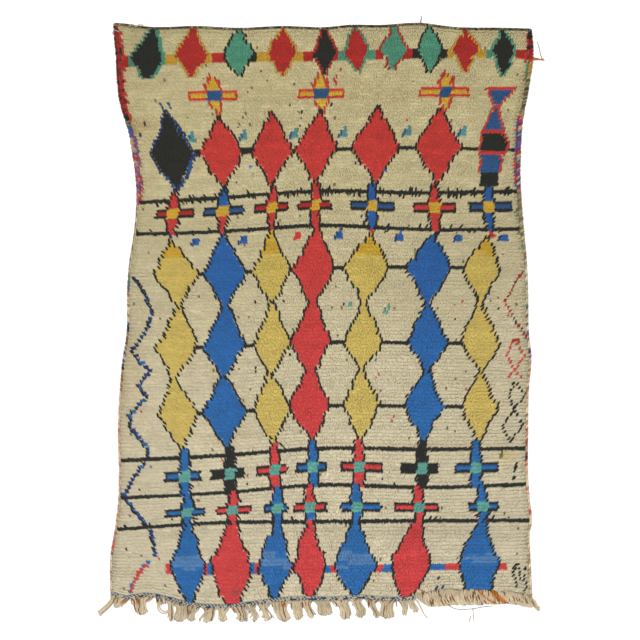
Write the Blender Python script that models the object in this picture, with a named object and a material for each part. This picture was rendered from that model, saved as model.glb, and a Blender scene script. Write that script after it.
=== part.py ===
"""Hand-knotted Middle Atlas wool rug, lying flat, as one slab of pile with its bindings and fringe.

Metres, +Z up. The rug's underside is on Z = 0 and its pile faces +Z. +Y runs along the warp from the
fringed foot to the corded head, +X runs along the knot rows. The tables below are in millimetres on the
loom: "across" is measured from the rug's centre line and "up" from the foot line, the level where the
warp ends leave the weave. The whole rug is then moved so that the origin is the centre of its underside.
"""

from typing import NamedTuple

import bmesh
import bpy
import numpy as np

MM = 0.001

# Driving dimensions, in millimetres.
PILE_THICK = 14.0  # ground weave and pile together
PILE_CROWN = 5.0  # how far the pile rounds over at the slab's rim
SELVEDGE_THICK = 8.0
SELVEDGE_NARROW = 6.0  # width of the plain wrapped selvedge
LEFT_OVERCAST_WIDE = 15.0  # width of the selvedge where coloured yarn is sewn over it
RIGHT_OVERCAST_WIDE = 13.0
LEFT_OVERCAST_FROM = 1240.0  # up the rug, where the coloured overcasting starts
RIGHT_OVERCAST_FROM = 1110.0
OVERCAST_TAPER = 60.0
HEAD_CORD_WIDE = 8.0
HEAD_CORD_THICK = 9.0
TWINING_WIDE = 10.0
TWINING_THICK = 10.0
TWINING_END = 306.0  # across, where the twined band stops and the plait starts
FRINGE_THICK = 7.0
FRINGE_SPINE = 7.0  # depth of the band of warp roots that every tassel grows from
FRINGE_CROWN = 1.5
PLAIT_THICK = 11.0
PLAIT_CROWN = 3.0
GAP = 0.3  # clearance between neighbouring pieces
STEP = 30.0  # longest facet along an edge
FOOT_CORNER = 8.0  # up the rug, level of the two lower corners
HEAD_CORNER = 1820.0  # up the rug, level of the two upper corners
TASSEL_BEND = 0.55  # how far down a tassel its bend lies
TASSEL_LEAN_AT_BEND = 0.35  # share of its sideways lean that it has taken there
TASSEL_WAIST = 0.9  # its width there, as a share of its mean width
TASSEL_ROUND = 2.5  # how far its tip is rounded off


class Side(NamedTuple):
    """Where the two long edges lie at one height."""

    up: float
    left: float
    right: float


class Level(NamedTuple):
    """How high an end of the weave lies at one place across."""

    across: float
    up: float


class Tassel(NamedTuple):
    """One bundle of warp ends: where it leaves the weave, where it ends, and how wide it is."""

    root: float
    tip: float
    drop: float
    root_wide: float
    tip_wide: float


class PlaitSection(NamedTuple):
    """How far the plaited warp ends hang below the pile at one place across."""

    across: float
    deep: float


SIDES = [
    Side(up=-30, left=-671, right=677),
    Side(up=6, left=-670, right=677),
    Side(up=150, left=-667, right=670),
    Side(up=198, left=-658, right=668),
    Side(up=246, left=-651, right=677),
    Side(up=294, left=-645, right=671),
    Side(up=390, left=-642, right=664),
    Side(up=534, left=-645, right=664),
    Side(up=678, left=-638, right=667),
    Side(up=765, left=-630, right=675),
    Side(up=838, left=-618, right=667),
    Side(up=982, left=-616, right=664),
    Side(up=1062, left=-610, right=661),
    Side(up=1158, left=-595, right=653),
    Side(up=1254, left=-587, right=645),
    Side(up=1350, left=-590, right=640),
    Side(up=1430, left=-602, right=642),
    Side(up=1494, left=-613, right=645),
    Side(up=1542, left=-629, right=651),
    Side(up=1590, left=-642, right=661),
    Side(up=1640, left=-648, right=669),
    Side(up=1734, left=-653, right=682),
    Side(up=1800, left=-659, right=678),
    Side(up=1840, left=-661, right=673),
]

HEAD = [
    Level(across=-680, up=1838),
    Level(across=-650, up=1837),
    Level(across=-541, up=1824),
    Level(across=-394, up=1827),
    Level(across=-259, up=1821),
    Level(across=-122, up=1827),
    Level(across=32, up=1824),
    Level(across=83, up=1830),
    Level(across=195, up=1830),
    Level(across=318, up=1837),
    Level(across=426, up=1824),
    Level(across=589, up=1821),
    Level(across=690, up=1818),
]

FOOT = [
    Level(across=-680, up=21),
    Level(across=-670, up=20),
    Level(across=-630, up=4),
    Level(across=-563, up=13),
    Level(across=-480, up=0),
    Level(across=-422, up=-16),
    Level(across=-349, up=-24),
    Level(across=-282, up=-22),
    Level(across=-211, up=-14),
    Level(across=-144, up=-4),
    Level(across=-48, up=2),
    Level(across=48, up=0),
    Level(across=118, up=7),
    Level(across=195, up=1),
    Level(across=304, up=4),
    Level(across=340, up=14),
    Level(across=560, up=16),
    Level(across=630, up=13),
    Level(across=690, up=-4),
]

FRINGE = [
    Tassel(root=-659, tip=-702, drop=66, root_wide=13, tip_wide=14),
    Tassel(root=-636, tip=-655, drop=36, root_wide=20, tip_wide=16),
    Tassel(root=-578, tip=-568, drop=61, root_wide=46, tip_wide=38),
    Tassel(root=-520, tip=-502, drop=59, root_wide=16, tip_wide=20),
    Tassel(root=-477, tip=-481, drop=83, root_wide=18, tip_wide=12),
    Tassel(root=-444, tip=-445, drop=84, root_wide=38, tip_wide=36),
    Tassel(root=-409, tip=-408, drop=83, root_wide=22, tip_wide=24),
    Tassel(root=-350, tip=-359, drop=84, root_wide=34, tip_wide=48),
    Tassel(root=-312, tip=-314, drop=83, root_wide=24, tip_wide=26),
    Tassel(root=-258, tip=-243, drop=83, root_wide=36, tip_wide=30),
    Tassel(root=-218, tip=-208, drop=83, root_wide=16, tip_wide=24),
    Tassel(root=-183, tip=-169, drop=80, root_wide=20, tip_wide=34),
    Tassel(root=-127, tip=-120, drop=83, root_wide=50, tip_wide=40),
    Tassel(root=-80, tip=-64, drop=77, root_wide=32, tip_wide=28),
    Tassel(root=-44, tip=-28, drop=70, root_wide=26, tip_wide=22),
    Tassel(root=6, tip=22, drop=63, root_wide=46, tip_wide=44),
    Tassel(root=68, tip=86, drop=77, root_wide=38, tip_wide=34),
    Tassel(root=115, tip=134, drop=72, root_wide=30, tip_wide=30),
    Tassel(root=165, tip=179, drop=72, root_wide=20, tip_wide=20),
    Tassel(root=214, tip=219, drop=72, root_wide=48, tip_wide=44),
    Tassel(root=268, tip=276, drop=62, root_wide=18, tip_wide=16),
    Tassel(root=292, tip=303, drop=53, root_wide=16, tip_wide=20),
]

PLAIT = [
    PlaitSection(across=314, deep=34),
    PlaitSection(across=350, deep=50),
    PlaitSection(across=390, deep=54),
    PlaitSection(across=490, deep=49),
    PlaitSection(across=570, deep=40),
    PlaitSection(across=640, deep=40),
    PlaitSection(across=672, deep=38),
]
PLAIT_TIP = Level(across=701, up=-46)
PLAIT_TIP_WIDE = 9.0

WOOL_COLOURS = {
    "pile_field": (0.55, 0.45, 0.25, 1.0),
    "left_selvedge": (0.33, 0.04, 0.04, 1.0),
    "right_selvedge": (0.16, 0.05, 0.07, 1.0),
    "head_cord": (0.10, 0.07, 0.03, 1.0),
    "foot_twining": (0.10, 0.18, 0.42, 1.0),
    "warp_fringe": (0.52, 0.42, 0.27, 1.0),
    "corner_plait": (0.48, 0.36, 0.20, 1.0),
}


def smooth_value(at, knots, values):
    """A smooth curve through a table: cubic Hermite pieces whose slopes are the table's own gradient."""
    at = np.clip(np.asarray(at, float), knots[0], knots[-1])
    slopes = np.gradient(values, knots)
    i = np.clip(np.searchsorted(knots, at, side="right") - 1, 0, len(knots) - 2)
    span = knots[i + 1] - knots[i]
    t = (at - knots[i]) / span
    start = (1 + 2 * t) * (1 - t) ** 2 * values[i] + t * (1 - t) ** 2 * span * slopes[i]
    end = t * t * (3 - 2 * t) * values[i + 1] - t * t * (1 - t) * span * slopes[i + 1]
    return start + end


def stations(low, high):
    """Evenly spaced places from low to high, no more than STEP apart."""
    return np.linspace(low, high, int(np.ceil((high - low) / STEP)) + 1)


class Edge:
    """One edge of the weave as a polyline that every piece along it shares, so that gaps stay even."""

    def __init__(self, knots, values):
        knots, values = np.array(knots, float), np.array(values, float)
        self.places = stations(knots[0], knots[-1])
        self.values = smooth_value(self.places, knots, values)

    def __call__(self, at):
        return np.interp(at, self.places, self.values)

    def between(self, low, high):
        """low, the edge's own stations inside it, and high."""
        inside = self.places[(self.places > low + 1) & (self.places < high - 1)]
        return np.concatenate([[low], inside, [high]])


LEFT = Edge([s.up for s in SIDES], [s.left for s in SIDES])
RIGHT = Edge([s.up for s in SIDES], [s.right for s in SIDES])
TOP = Edge([h.across for h in HEAD], [h.up for h in HEAD])
BOTTOM = Edge([f.across for f in FOOT], [f.up for f in FOOT])


def left_width(up):
    """Width of the left selvedge: narrow below, wider where coloured yarn is sewn over it."""
    share = np.clip((np.asarray(up, float) - LEFT_OVERCAST_FROM) / OVERCAST_TAPER, 0, 1)
    return SELVEDGE_NARROW + (LEFT_OVERCAST_WIDE - SELVEDGE_NARROW) * share


def right_width(up):
    """Width of the right selvedge, by the same rule as the left one."""
    share = np.clip((np.asarray(up, float) - RIGHT_OVERCAST_FROM) / OVERCAST_TAPER, 0, 1)
    return SELVEDGE_NARROW + (RIGHT_OVERCAST_WIDE - SELVEDGE_NARROW) * share


def weave_top(across):
    """Upper limit of the pile and the selvedges, just under the head cord."""
    return TOP(across) - HEAD_CORD_WIDE - GAP


def weave_foot(across):
    """Lower limit of the pile and the selvedges, just above the twining and the plait."""
    return BOTTOM(across) + GAP


def field_outline():
    """The slab of pile: up the left selvedge, along the head, down the right one, back along the foot."""

    def inner_left(up):
        return LEFT(up) + left_width(up) + GAP

    def inner_right(up):
        return RIGHT(up) - right_width(up) - GAP

    foot_left, foot_right = inner_left(FOOT_CORNER), inner_right(FOOT_CORNER)
    head_left, head_right = inner_left(HEAD_CORNER), inner_right(HEAD_CORNER)
    up_left = LEFT.between(weave_foot(foot_left), weave_top(head_left))
    down_right = RIGHT.between(weave_foot(foot_right), weave_top(head_right))[::-1]
    over = TOP.between(head_left, head_right)[1:-1]
    back = BOTTOM.between(foot_left, foot_right)[1:-1][::-1]
    return np.concatenate(
        [
            np.column_stack([inner_left(up_left), up_left]),
            np.column_stack([over, weave_top(over)]),
            np.column_stack([inner_right(down_right), down_right]),
            np.column_stack([back, weave_foot(back)]),
        ]
    )


def selvedge_rails(edge, width, side):
    """Outer and inner line of a selvedge strip; side is -1 on the left and +1 on the right."""
    up = edge.between(weave_foot(edge(FOOT_CORNER)), weave_top(edge(HEAD_CORNER)))
    outer = np.column_stack([edge(up), up])
    inner = np.column_stack([edge(up) - side * width(up), up])
    for rail in (outer, inner):
        rail[0, 1] = weave_foot(rail[0, 0])
        rail[-1, 1] = weave_top(rail[-1, 0])
    return outer, inner


def head_rails():
    """Outer and inner line of the twined cord along the head."""
    across = TOP.between(LEFT(HEAD_CORNER), RIGHT(HEAD_CORNER))
    return (
        np.column_stack([across, TOP(across)]),
        np.column_stack([across, TOP(across) - HEAD_CORD_WIDE]),
    )


def twining_rails():
    """Upper and lower line of the twined band along the foot."""
    across = BOTTOM.between(LEFT(FOOT_CORNER), TWINING_END)
    return (
        np.column_stack([across, BOTTOM(across)]),
        np.column_stack([across, BOTTOM(across) - TWINING_WIDE]),
    )


def fringe_outline():
    """One comb: the band of warp roots under the twining, with a tapering bent tooth for each tassel."""
    across = BOTTOM.between(LEFT(FOOT_CORNER), TWINING_END)
    top = np.column_stack([across, BOTTOM(across) - TWINING_WIDE - GAP])[::-1]
    teeth = []
    for t in FRINGE:
        root_up = BOTTOM(t.root) - TWINING_WIDE - GAP - FRINGE_SPINE
        bend = t.root + (t.tip - t.root) * TASSEL_LEAN_AT_BEND
        bend_up = root_up + (-t.drop - root_up) * TASSEL_BEND
        bend_wide = (t.root_wide + t.tip_wide) / 2 * TASSEL_WAIST
        teeth += [
            (t.root - t.root_wide / 2, root_up),
            (bend - bend_wide / 2, bend_up),
            (t.tip - t.tip_wide / 2, TASSEL_ROUND - t.drop),
            (t.tip, -t.drop),
            (t.tip + t.tip_wide / 2, TASSEL_ROUND - t.drop),
            (bend + bend_wide / 2, bend_up),
            (t.root + t.root_wide / 2, root_up),
        ]
    return np.concatenate([top, np.array(teeth)])[::-1]


def plait_outline():
    """The slanting plait under the pile's right end, drawn out into a small corner tassel."""
    across = np.array([s.across for s in PLAIT], float)
    deep = np.array([s.deep for s in PLAIT], float)
    over = BOTTOM.between(across[0], across[-1])
    under = stations(across[0], across[-1])[::-1]
    upper = np.column_stack([over, BOTTOM(over)])
    lower = np.column_stack([under, BOTTOM(under) - smooth_value(under, across, deep)])
    tip = np.array(
        [
            (PLAIT_TIP.across + PLAIT_TIP_WIDE / 2, PLAIT_TIP.up + TASSEL_ROUND),
            (PLAIT_TIP.across - PLAIT_TIP_WIDE / 2, PLAIT_TIP.up),
        ]
    )
    return np.concatenate([upper, tip, lower])


def clockwise(outline):
    """The outline turned to run clockwise seen from above."""
    x, y = outline.T
    area = np.sum(x * np.roll(y, -1) - np.roll(x, -1) * y)
    return outline if area < 0 else outline[::-1]


def inset(outline, distance):
    """A clockwise outline moved inwards, each point along the mean normal of its two sides."""
    sides = np.roll(outline, -1, axis=0) - outline
    normals = np.column_stack([sides[:, 1], -sides[:, 0]])
    normals /= np.linalg.norm(normals, axis=1, keepdims=True)
    mean = normals + np.roll(normals, 1, axis=0)
    reach = np.maximum(np.sum(mean * normals, axis=1), 0.8)
    return outline + distance * mean / reach[:, None]


def rings_to_object(name, rings, centre):
    """Bridge rings of points, each an (n, 3) array, and cap both ends: one closed body, faces outwards."""
    mesh = bpy.data.meshes.new(name)
    bm = bmesh.new()
    layers = [[bm.verts.new((p - (*centre, 0.0)) * MM) for p in ring] for ring in rings]
    for low, high in zip(layers, layers[1:]):
        for k in range(len(low)):
            after = (k + 1) % len(low)
            bm.faces.new((low[k], low[after], high[after], high[k]))
    bm.faces.new(layers[0])
    bm.faces.new(layers[-1])
    bmesh.ops.triangulate(bm, faces=bm.faces[:])
    bmesh.ops.recalc_face_normals(bm, faces=bm.faces[:])
    bm.to_mesh(mesh)
    bm.free()
    piece = bpy.data.objects.new(name, mesh)
    bpy.context.scene.collection.objects.link(piece)
    mesh.materials.append(wool(name))
    return piece


def wool(name):
    """A matt wool material in the piece's own mean colour."""
    material = bpy.data.materials.new(name)
    material.use_nodes = True
    shader = material.node_tree.nodes["Principled BSDF"]
    shader.inputs["Base Color"].default_value = WOOL_COLOURS[name]
    shader.inputs["Roughness"].default_value = 0.95
    shader.inputs["Metallic"].default_value = 0.0
    return material


def slab(name, outline, thick, crown, centre):
    """A flat slab on Z = 0 whose upper rim rounds over by crown, in two chords of a quarter circle."""
    low = clockwise(outline)
    cut = crown * (1 - np.sqrt(0.5))
    levels = [
        (low, 0.0),
        (low, thick - crown),
        (inset(low, cut), thick - cut),
        (inset(low, crown), thick),
    ]
    rings = [np.column_stack([ring, np.full(len(ring), z)]) for ring, z in levels]
    return rings_to_object(name, rings, centre)


def strip(name, outer, inner, thick, centre):
    """A binding between two rails on Z = 0: flat underneath, with a rounded back."""
    profile = [(0.0, 0.0), (0.0, 0.55), (0.25, 1.0), (0.75, 1.0), (1.0, 0.55), (1.0, 0.0)]
    rings = []
    for start, end in zip(outer, inner):
        points = [(*(start + (end - start) * share), rise * thick) for share, rise in profile]
        rings.append(np.array(points))
    return rings_to_object(name, rings, centre)


def main():
    """Clear the scene and build every piece of the rug about the centre of its underside."""
    for item in list(bpy.data.objects):
        bpy.data.objects.remove(item)

    field = field_outline()
    left = selvedge_rails(LEFT, left_width, -1)
    right = selvedge_rails(RIGHT, right_width, 1)
    head = head_rails()
    twining = twining_rails()
    fringe = fringe_outline()
    plait = plait_outline()

    every_point = np.concatenate([field, *left, *right, *head, *twining, fringe, plait])
    centre = (every_point.min(axis=0) + every_point.max(axis=0)) / 2

    slab("pile_field", field, PILE_THICK, PILE_CROWN, centre)
    strip("left_selvedge", *left, SELVEDGE_THICK, centre)
    strip("right_selvedge", *right, SELVEDGE_THICK, centre)
    strip("head_cord", *head, HEAD_CORD_THICK, centre)
    strip("foot_twining", *twining, TWINING_THICK, centre)
    slab("warp_fringe", fringe, FRINGE_THICK, FRINGE_CROWN, centre)
    slab("corner_plait", plait, PLAIT_THICK, PLAIT_CROWN, centre)


main()
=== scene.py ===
"""The looks of a hand-knotted Middle Atlas wool rug that lies flat with its pile up.

Metres, +Z up, origin at the centre of the rug's underside, +Y from the fringed foot to the corded head. The
rug is dressed the way it was made: a ground weave on the loom's grid of knots, one lock of wool for each
knot in the yarn that the chart names, overcast selvedges, a twined cord at the head, a twined band, knotted
warp ends and a slanting plait at the foot. The motifs are tied row by row from short tables in knots.
"""

import logging
import sys
from dataclasses import dataclass
from enum import Enum, IntEnum
from functools import cache
from typing import NamedTuple, Sequence

import bpy
import numpy as np
from bpy.types import Material, Node, NodeInputs, NodeOutputs, NodeSocket, NodeTree, Object
from mathutils import Matrix, Vector


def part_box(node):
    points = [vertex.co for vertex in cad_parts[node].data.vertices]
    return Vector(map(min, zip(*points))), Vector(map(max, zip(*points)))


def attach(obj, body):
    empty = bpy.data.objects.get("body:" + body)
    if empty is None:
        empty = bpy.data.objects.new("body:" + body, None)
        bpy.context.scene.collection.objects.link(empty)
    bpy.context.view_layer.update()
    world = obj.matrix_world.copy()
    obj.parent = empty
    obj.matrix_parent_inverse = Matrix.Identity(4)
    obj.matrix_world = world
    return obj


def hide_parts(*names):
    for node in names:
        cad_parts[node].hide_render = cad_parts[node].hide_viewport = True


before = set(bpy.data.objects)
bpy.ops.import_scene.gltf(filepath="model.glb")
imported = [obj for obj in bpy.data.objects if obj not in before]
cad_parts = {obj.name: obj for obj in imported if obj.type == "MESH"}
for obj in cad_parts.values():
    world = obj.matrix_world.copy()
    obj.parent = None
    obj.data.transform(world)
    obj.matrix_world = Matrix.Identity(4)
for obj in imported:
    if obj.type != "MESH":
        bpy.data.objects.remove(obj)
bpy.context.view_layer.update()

MM = 0.001
TAU = 2 * np.pi
UP = np.array([0.0, 0.0, 1.0])
BODY = "root"
MAP_MARGIN = 0.04

# The loom's own lines in the frame: its tables are in millimetres across from the centre line and up from
# the foot line, the level where the warp ends leave the weave.
CENTRE_LINE_X = 0.00175
FOOT_LINE_Y = -0.87666

LOG = logging.getLogger("rug")
Colour = tuple[int, int, int]


class Yarn(IntEnum):
    """The yarns on the loom; the chart holds one of these for every knot."""

    CREAM = 0
    RED = 1
    BLUE = 2
    YELLOW = 3
    GOLD = 4
    MUSTARD = 5
    TEAL = 6
    CHARCOAL = 7
    NAVY = 8
    TURQUOISE = 9
    OLIVE = 10
    VIOLET = 11
    BROWN = 12
    RUST = 13
    WARP = 14
    FADED_BLUE = 15
    MADDER = 16
    DEEP_BLUE = 17


(
    CREAM, RED, BLUE, YELLOW, GOLD, MUSTARD, TEAL, CHARCOAL, NAVY, TURQUOISE, OLIVE, VIOLET, BROWN, RUST,
    WARP, FADED_BLUE, MADDER, DEEP_BLUE,
) = Yarn


class Dye(NamedTuple):
    """A yarn's colour near the head and near the foot, as 0-255 display values; most are darker near the
    head.
    """

    head: Colour
    foot: Colour


DYES = {
    CREAM: Dye((163, 152, 114), (185, 175, 149)),
    RED: Dye((161, 47, 40), (187, 62, 62)),
    BLUE: Dye((33, 73, 129), (41, 96, 152)),
    YELLOW: Dye((166, 145, 70), (184, 163, 90)),
    GOLD: Dye((172, 138, 43), (174, 141, 46)),
    MUSTARD: Dye((158, 121, 40), (170, 132, 48)),
    TEAL: Dye((63, 117, 93), (88, 146, 134)),
    CHARCOAL: Dye((31, 32, 27), (38, 39, 37)),
    NAVY: Dye((36, 50, 86), (40, 56, 98)),
    TURQUOISE: Dye((70, 114, 114), (76, 130, 138)),
    OLIVE: Dye((98, 94, 62), (104, 98, 70)),
    VIOLET: Dye((104, 72, 112), (112, 84, 126)),
    BROWN: Dye((108, 84, 58), (132, 94, 58)),
    RUST: Dye((170, 100, 40), (186, 112, 44)),
    WARP: Dye((188, 170, 138), (202, 185, 154)),
    FADED_BLUE: Dye((66, 104, 150), (74, 113, 156)),
    MADDER: Dye((142, 35, 30), (148, 38, 36)),
    DEEP_BLUE: Dye((38, 69, 106), (42, 74, 116)),
}


class Slot(Enum):
    """Names of the pieces' material slots; nothing here reads them."""

    PILE = "pile_wool"
    SELVEDGE = "selvedge_wool"
    HEAD_CORD = "head_cord_wool"
    TWINING = "twining_wool"
    WARP = "warp_yarn"


# ---------------------------------------------------------------------------------------------------------
# Maths


def to_linear(colour: np.ndarray) -> np.ndarray:
    """Display colour 0-255 to linear light 0-1, by the usual sRGB curve."""
    share = np.asarray(colour, float) / 255
    return np.where(share <= 0.04045, share / 12.92, ((share + 0.055) / 1.055) ** 2.4)


def smoothstep(value: np.ndarray, low: float, high: float) -> np.ndarray:
    """0 below low, 1 above high, 3t^2 - 2t^3 between them."""
    t = np.clip((np.asarray(value, float) - low) / (high - low), 0, 1)
    return t * t * (3 - 2 * t)


def unit(vectors: np.ndarray) -> np.ndarray:
    """The vectors at length one."""
    return vectors / np.maximum(np.linalg.norm(vectors, axis=-1, keepdims=True), 1e-12)


def hermite(at: np.ndarray, knots: np.ndarray, values: np.ndarray) -> np.ndarray:
    """A smooth curve through a table: cubic pieces whose slopes are the table's own gradient.

    Args:
        at: where the curve is wanted, held inside the table.
        knots: the table's places, rising.
        values: the table's values.

    Returns:
        The curve's values.
    """
    at = np.clip(at, knots[0], knots[-1])
    slopes = np.gradient(values, knots)
    i = np.clip(np.searchsorted(knots, at, side="right") - 1, 0, len(knots) - 2)
    span = knots[i + 1] - knots[i]
    t = (at - knots[i]) / span
    start = (1 + 2 * t) * (1 - t) ** 2 * values[i] + t * (1 - t) ** 2 * span * slopes[i]
    end = t * t * (3 - 2 * t) * values[i + 1] - t * t * (1 - t) * span * slopes[i + 1]
    return start + end


def drift(x: np.ndarray, y: np.ndarray, size: float, seed: int, waves: int = 7) -> np.ndarray:
    """Gentle unevenness of about -1 to 1: the mean of cosines of random heading, length and phase.

    Args:
        x: places across, in metres.
        y: places along, in metres.
        size: typical length of one swell, in metres.
        seed: picks the waves.
        waves: how many are added.

    Returns:
        One number for each place.
    """
    rng = np.random.default_rng(seed)
    total = np.zeros(np.broadcast(x, y).shape)
    spans = (0, TAU), (0.7, 1.5), (0, TAU)
    for heading, stretch, phase in np.array([rng.uniform(*span, waves) for span in spans]).T:
        total += np.cos((x * np.cos(heading) + y * np.sin(heading)) * TAU / (size * stretch) + phase)
    return total / np.sqrt(waves)


def running(line: np.ndarray) -> np.ndarray:
    """The length run along a line at each of its points."""
    return np.concatenate([[0.0], np.cumsum(np.linalg.norm(np.diff(line, axis=0), axis=1))])


def evenly(line: np.ndarray, step: float) -> np.ndarray:
    """A polyline resampled at about one step of length."""
    run = running(line)
    at = np.linspace(0, run[-1], int(np.ceil(run[-1] / step)) + 1)
    return np.column_stack([np.interp(at, run, line[:, k]) for k in range(line.shape[1])])


def curve_through(points: np.ndarray, count: int) -> np.ndarray:
    """count points on a smooth curve through a few of them, by cubic pieces over their running length."""
    run = running(points)
    at = np.linspace(0, run[-1], count)
    return np.column_stack([hermite(at, run, points[:, k]) for k in range(points.shape[1])])


# ---------------------------------------------------------------------------------------------------------
# Surfaces


@dataclass
class Surface:
    """Points, the faces between them, and the values that the points carry.

    Attributes:
        points: (n, 3) places in metres.
        faces: groups of (m, k) point numbers, k being 3 or 4.
        maps: for each group, (m, k, 2) places on the item's own unit square.
        items: for each group, (m,) the number of the lock, strand or side that the face belongs to.
        values: name to (n,) numbers or (n, 3) linear colours.
    """

    points: np.ndarray
    faces: list[np.ndarray]
    maps: list[np.ndarray]
    items: list[np.ndarray]
    values: dict[str, np.ndarray]

    @property
    def triangles(self) -> int:
        """How many triangles the faces make."""
        return sum(len(group) * (group.shape[1] - 2) for group in self.faces)

    @staticmethod
    def joined(parts: Sequence["Surface"]) -> "Surface":
        """All parts as one surface, with their items numbered on.

        Args:
            parts: surfaces with the same groups of values.

        Returns:
            The surface.
        """
        faces, maps, items = [], [], []
        point_count = item_count = 0
        for part in parts:
            faces += [group + point_count for group in part.faces]
            maps += part.maps
            items += [group + item_count for group in part.items]
            point_count += len(part.points)
            item_count += 1 + max(int(group.max()) for group in part.items)
        values = {name: np.concatenate([part.values[name] for part in parts]) for name in parts[0].values}
        return Surface(np.concatenate([p.points for p in parts]), faces, maps, items, values)

    def piece(self, name: str, *materials: Material) -> Object:
        """The surface as a smooth-shaded object with its values as attributes and two UV maps.

        "UVMap" holds each item's own unit square, and "OFBake" the same squares set side by side.

        Args:
            name: the object's name.
            *materials: one for the whole surface, or one for each of its groups of faces.

        Returns:
            The object, linked to the scene.
        """
        mesh = bpy.data.meshes.new(name)
        mesh.vertices.add(len(self.points))
        mesh.vertices.foreach_set("co", self.points.astype(np.float32).ravel())
        loops = np.concatenate([group.ravel() for group in self.faces])
        sizes = np.concatenate([np.full(len(group), group.shape[1]) for group in self.faces])
        mesh.loops.add(len(loops))
        mesh.loops.foreach_set("vertex_index", loops.astype(np.int32))
        mesh.polygons.add(len(sizes))
        mesh.polygons.foreach_set("loop_start", (np.cumsum(sizes) - sizes).astype(np.int32))
        mesh.polygons.foreach_set("use_smooth", np.ones(len(sizes), bool))
        own = np.concatenate([group.reshape(-1, 2) for group in self.maps])
        item = np.repeat(np.concatenate(self.items), sizes)
        grid = int(np.ceil(np.sqrt(item.max() + 1)))
        corner = np.column_stack([item % grid, item // grid])
        packed = (corner + MAP_MARGIN + (1 - 2 * MAP_MARGIN) * own) / grid
        for label, places in (("UVMap", own), ("OFBake", packed)):
            layer = mesh.uv_layers.new(name=label)
            layer.uv.foreach_set("vector", places.astype(np.float32).ravel())
        mesh.uv_layers["UVMap"].active_render = True
        for label, numbers in self.values.items():
            kind, part = ("FLOAT", "value") if numbers.ndim == 1 else ("FLOAT_COLOR", "color")
            if part == "color":
                numbers = np.column_stack([numbers, np.ones(len(numbers))])
            attribute = mesh.attributes.new(label, kind, "POINT")
            attribute.data.foreach_set(part, numbers.astype(np.float32).ravel())
        mesh.update(calc_edges=True)
        for material in materials:
            mesh.materials.append(material)
        if len(materials) > 1:
            dressed = np.concatenate([np.full(len(group), k) for k, group in enumerate(self.faces)])
            mesh.polygons.foreach_set("material_index", dressed.astype(np.int32))
        made = bpy.data.objects.new(name, mesh)
        bpy.context.scene.collection.objects.link(made)
        return made


def paired(first: np.ndarray | float, second: np.ndarray | float) -> np.ndarray:
    """Two arrays side by side on a new last axis."""
    return np.stack(np.broadcast_arrays(first, second), axis=-1)


def per_point(value: np.ndarray, paths: np.ndarray) -> np.ndarray:
    """A value spread over all the points of its path.

    Args:
        value: (m,) or (m, n) numbers, or (m, 1, 3) or (m, n, 3) colours.
        paths: (m, n, 3) points.

    Returns:
        (m, n) numbers or (m, n, 3) colours.
    """
    value = np.asarray(value, float)
    value = value[:, None] if value.ndim == 1 else value
    return np.broadcast_to(value, paths.shape[:2] + value.shape[2:])


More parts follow.
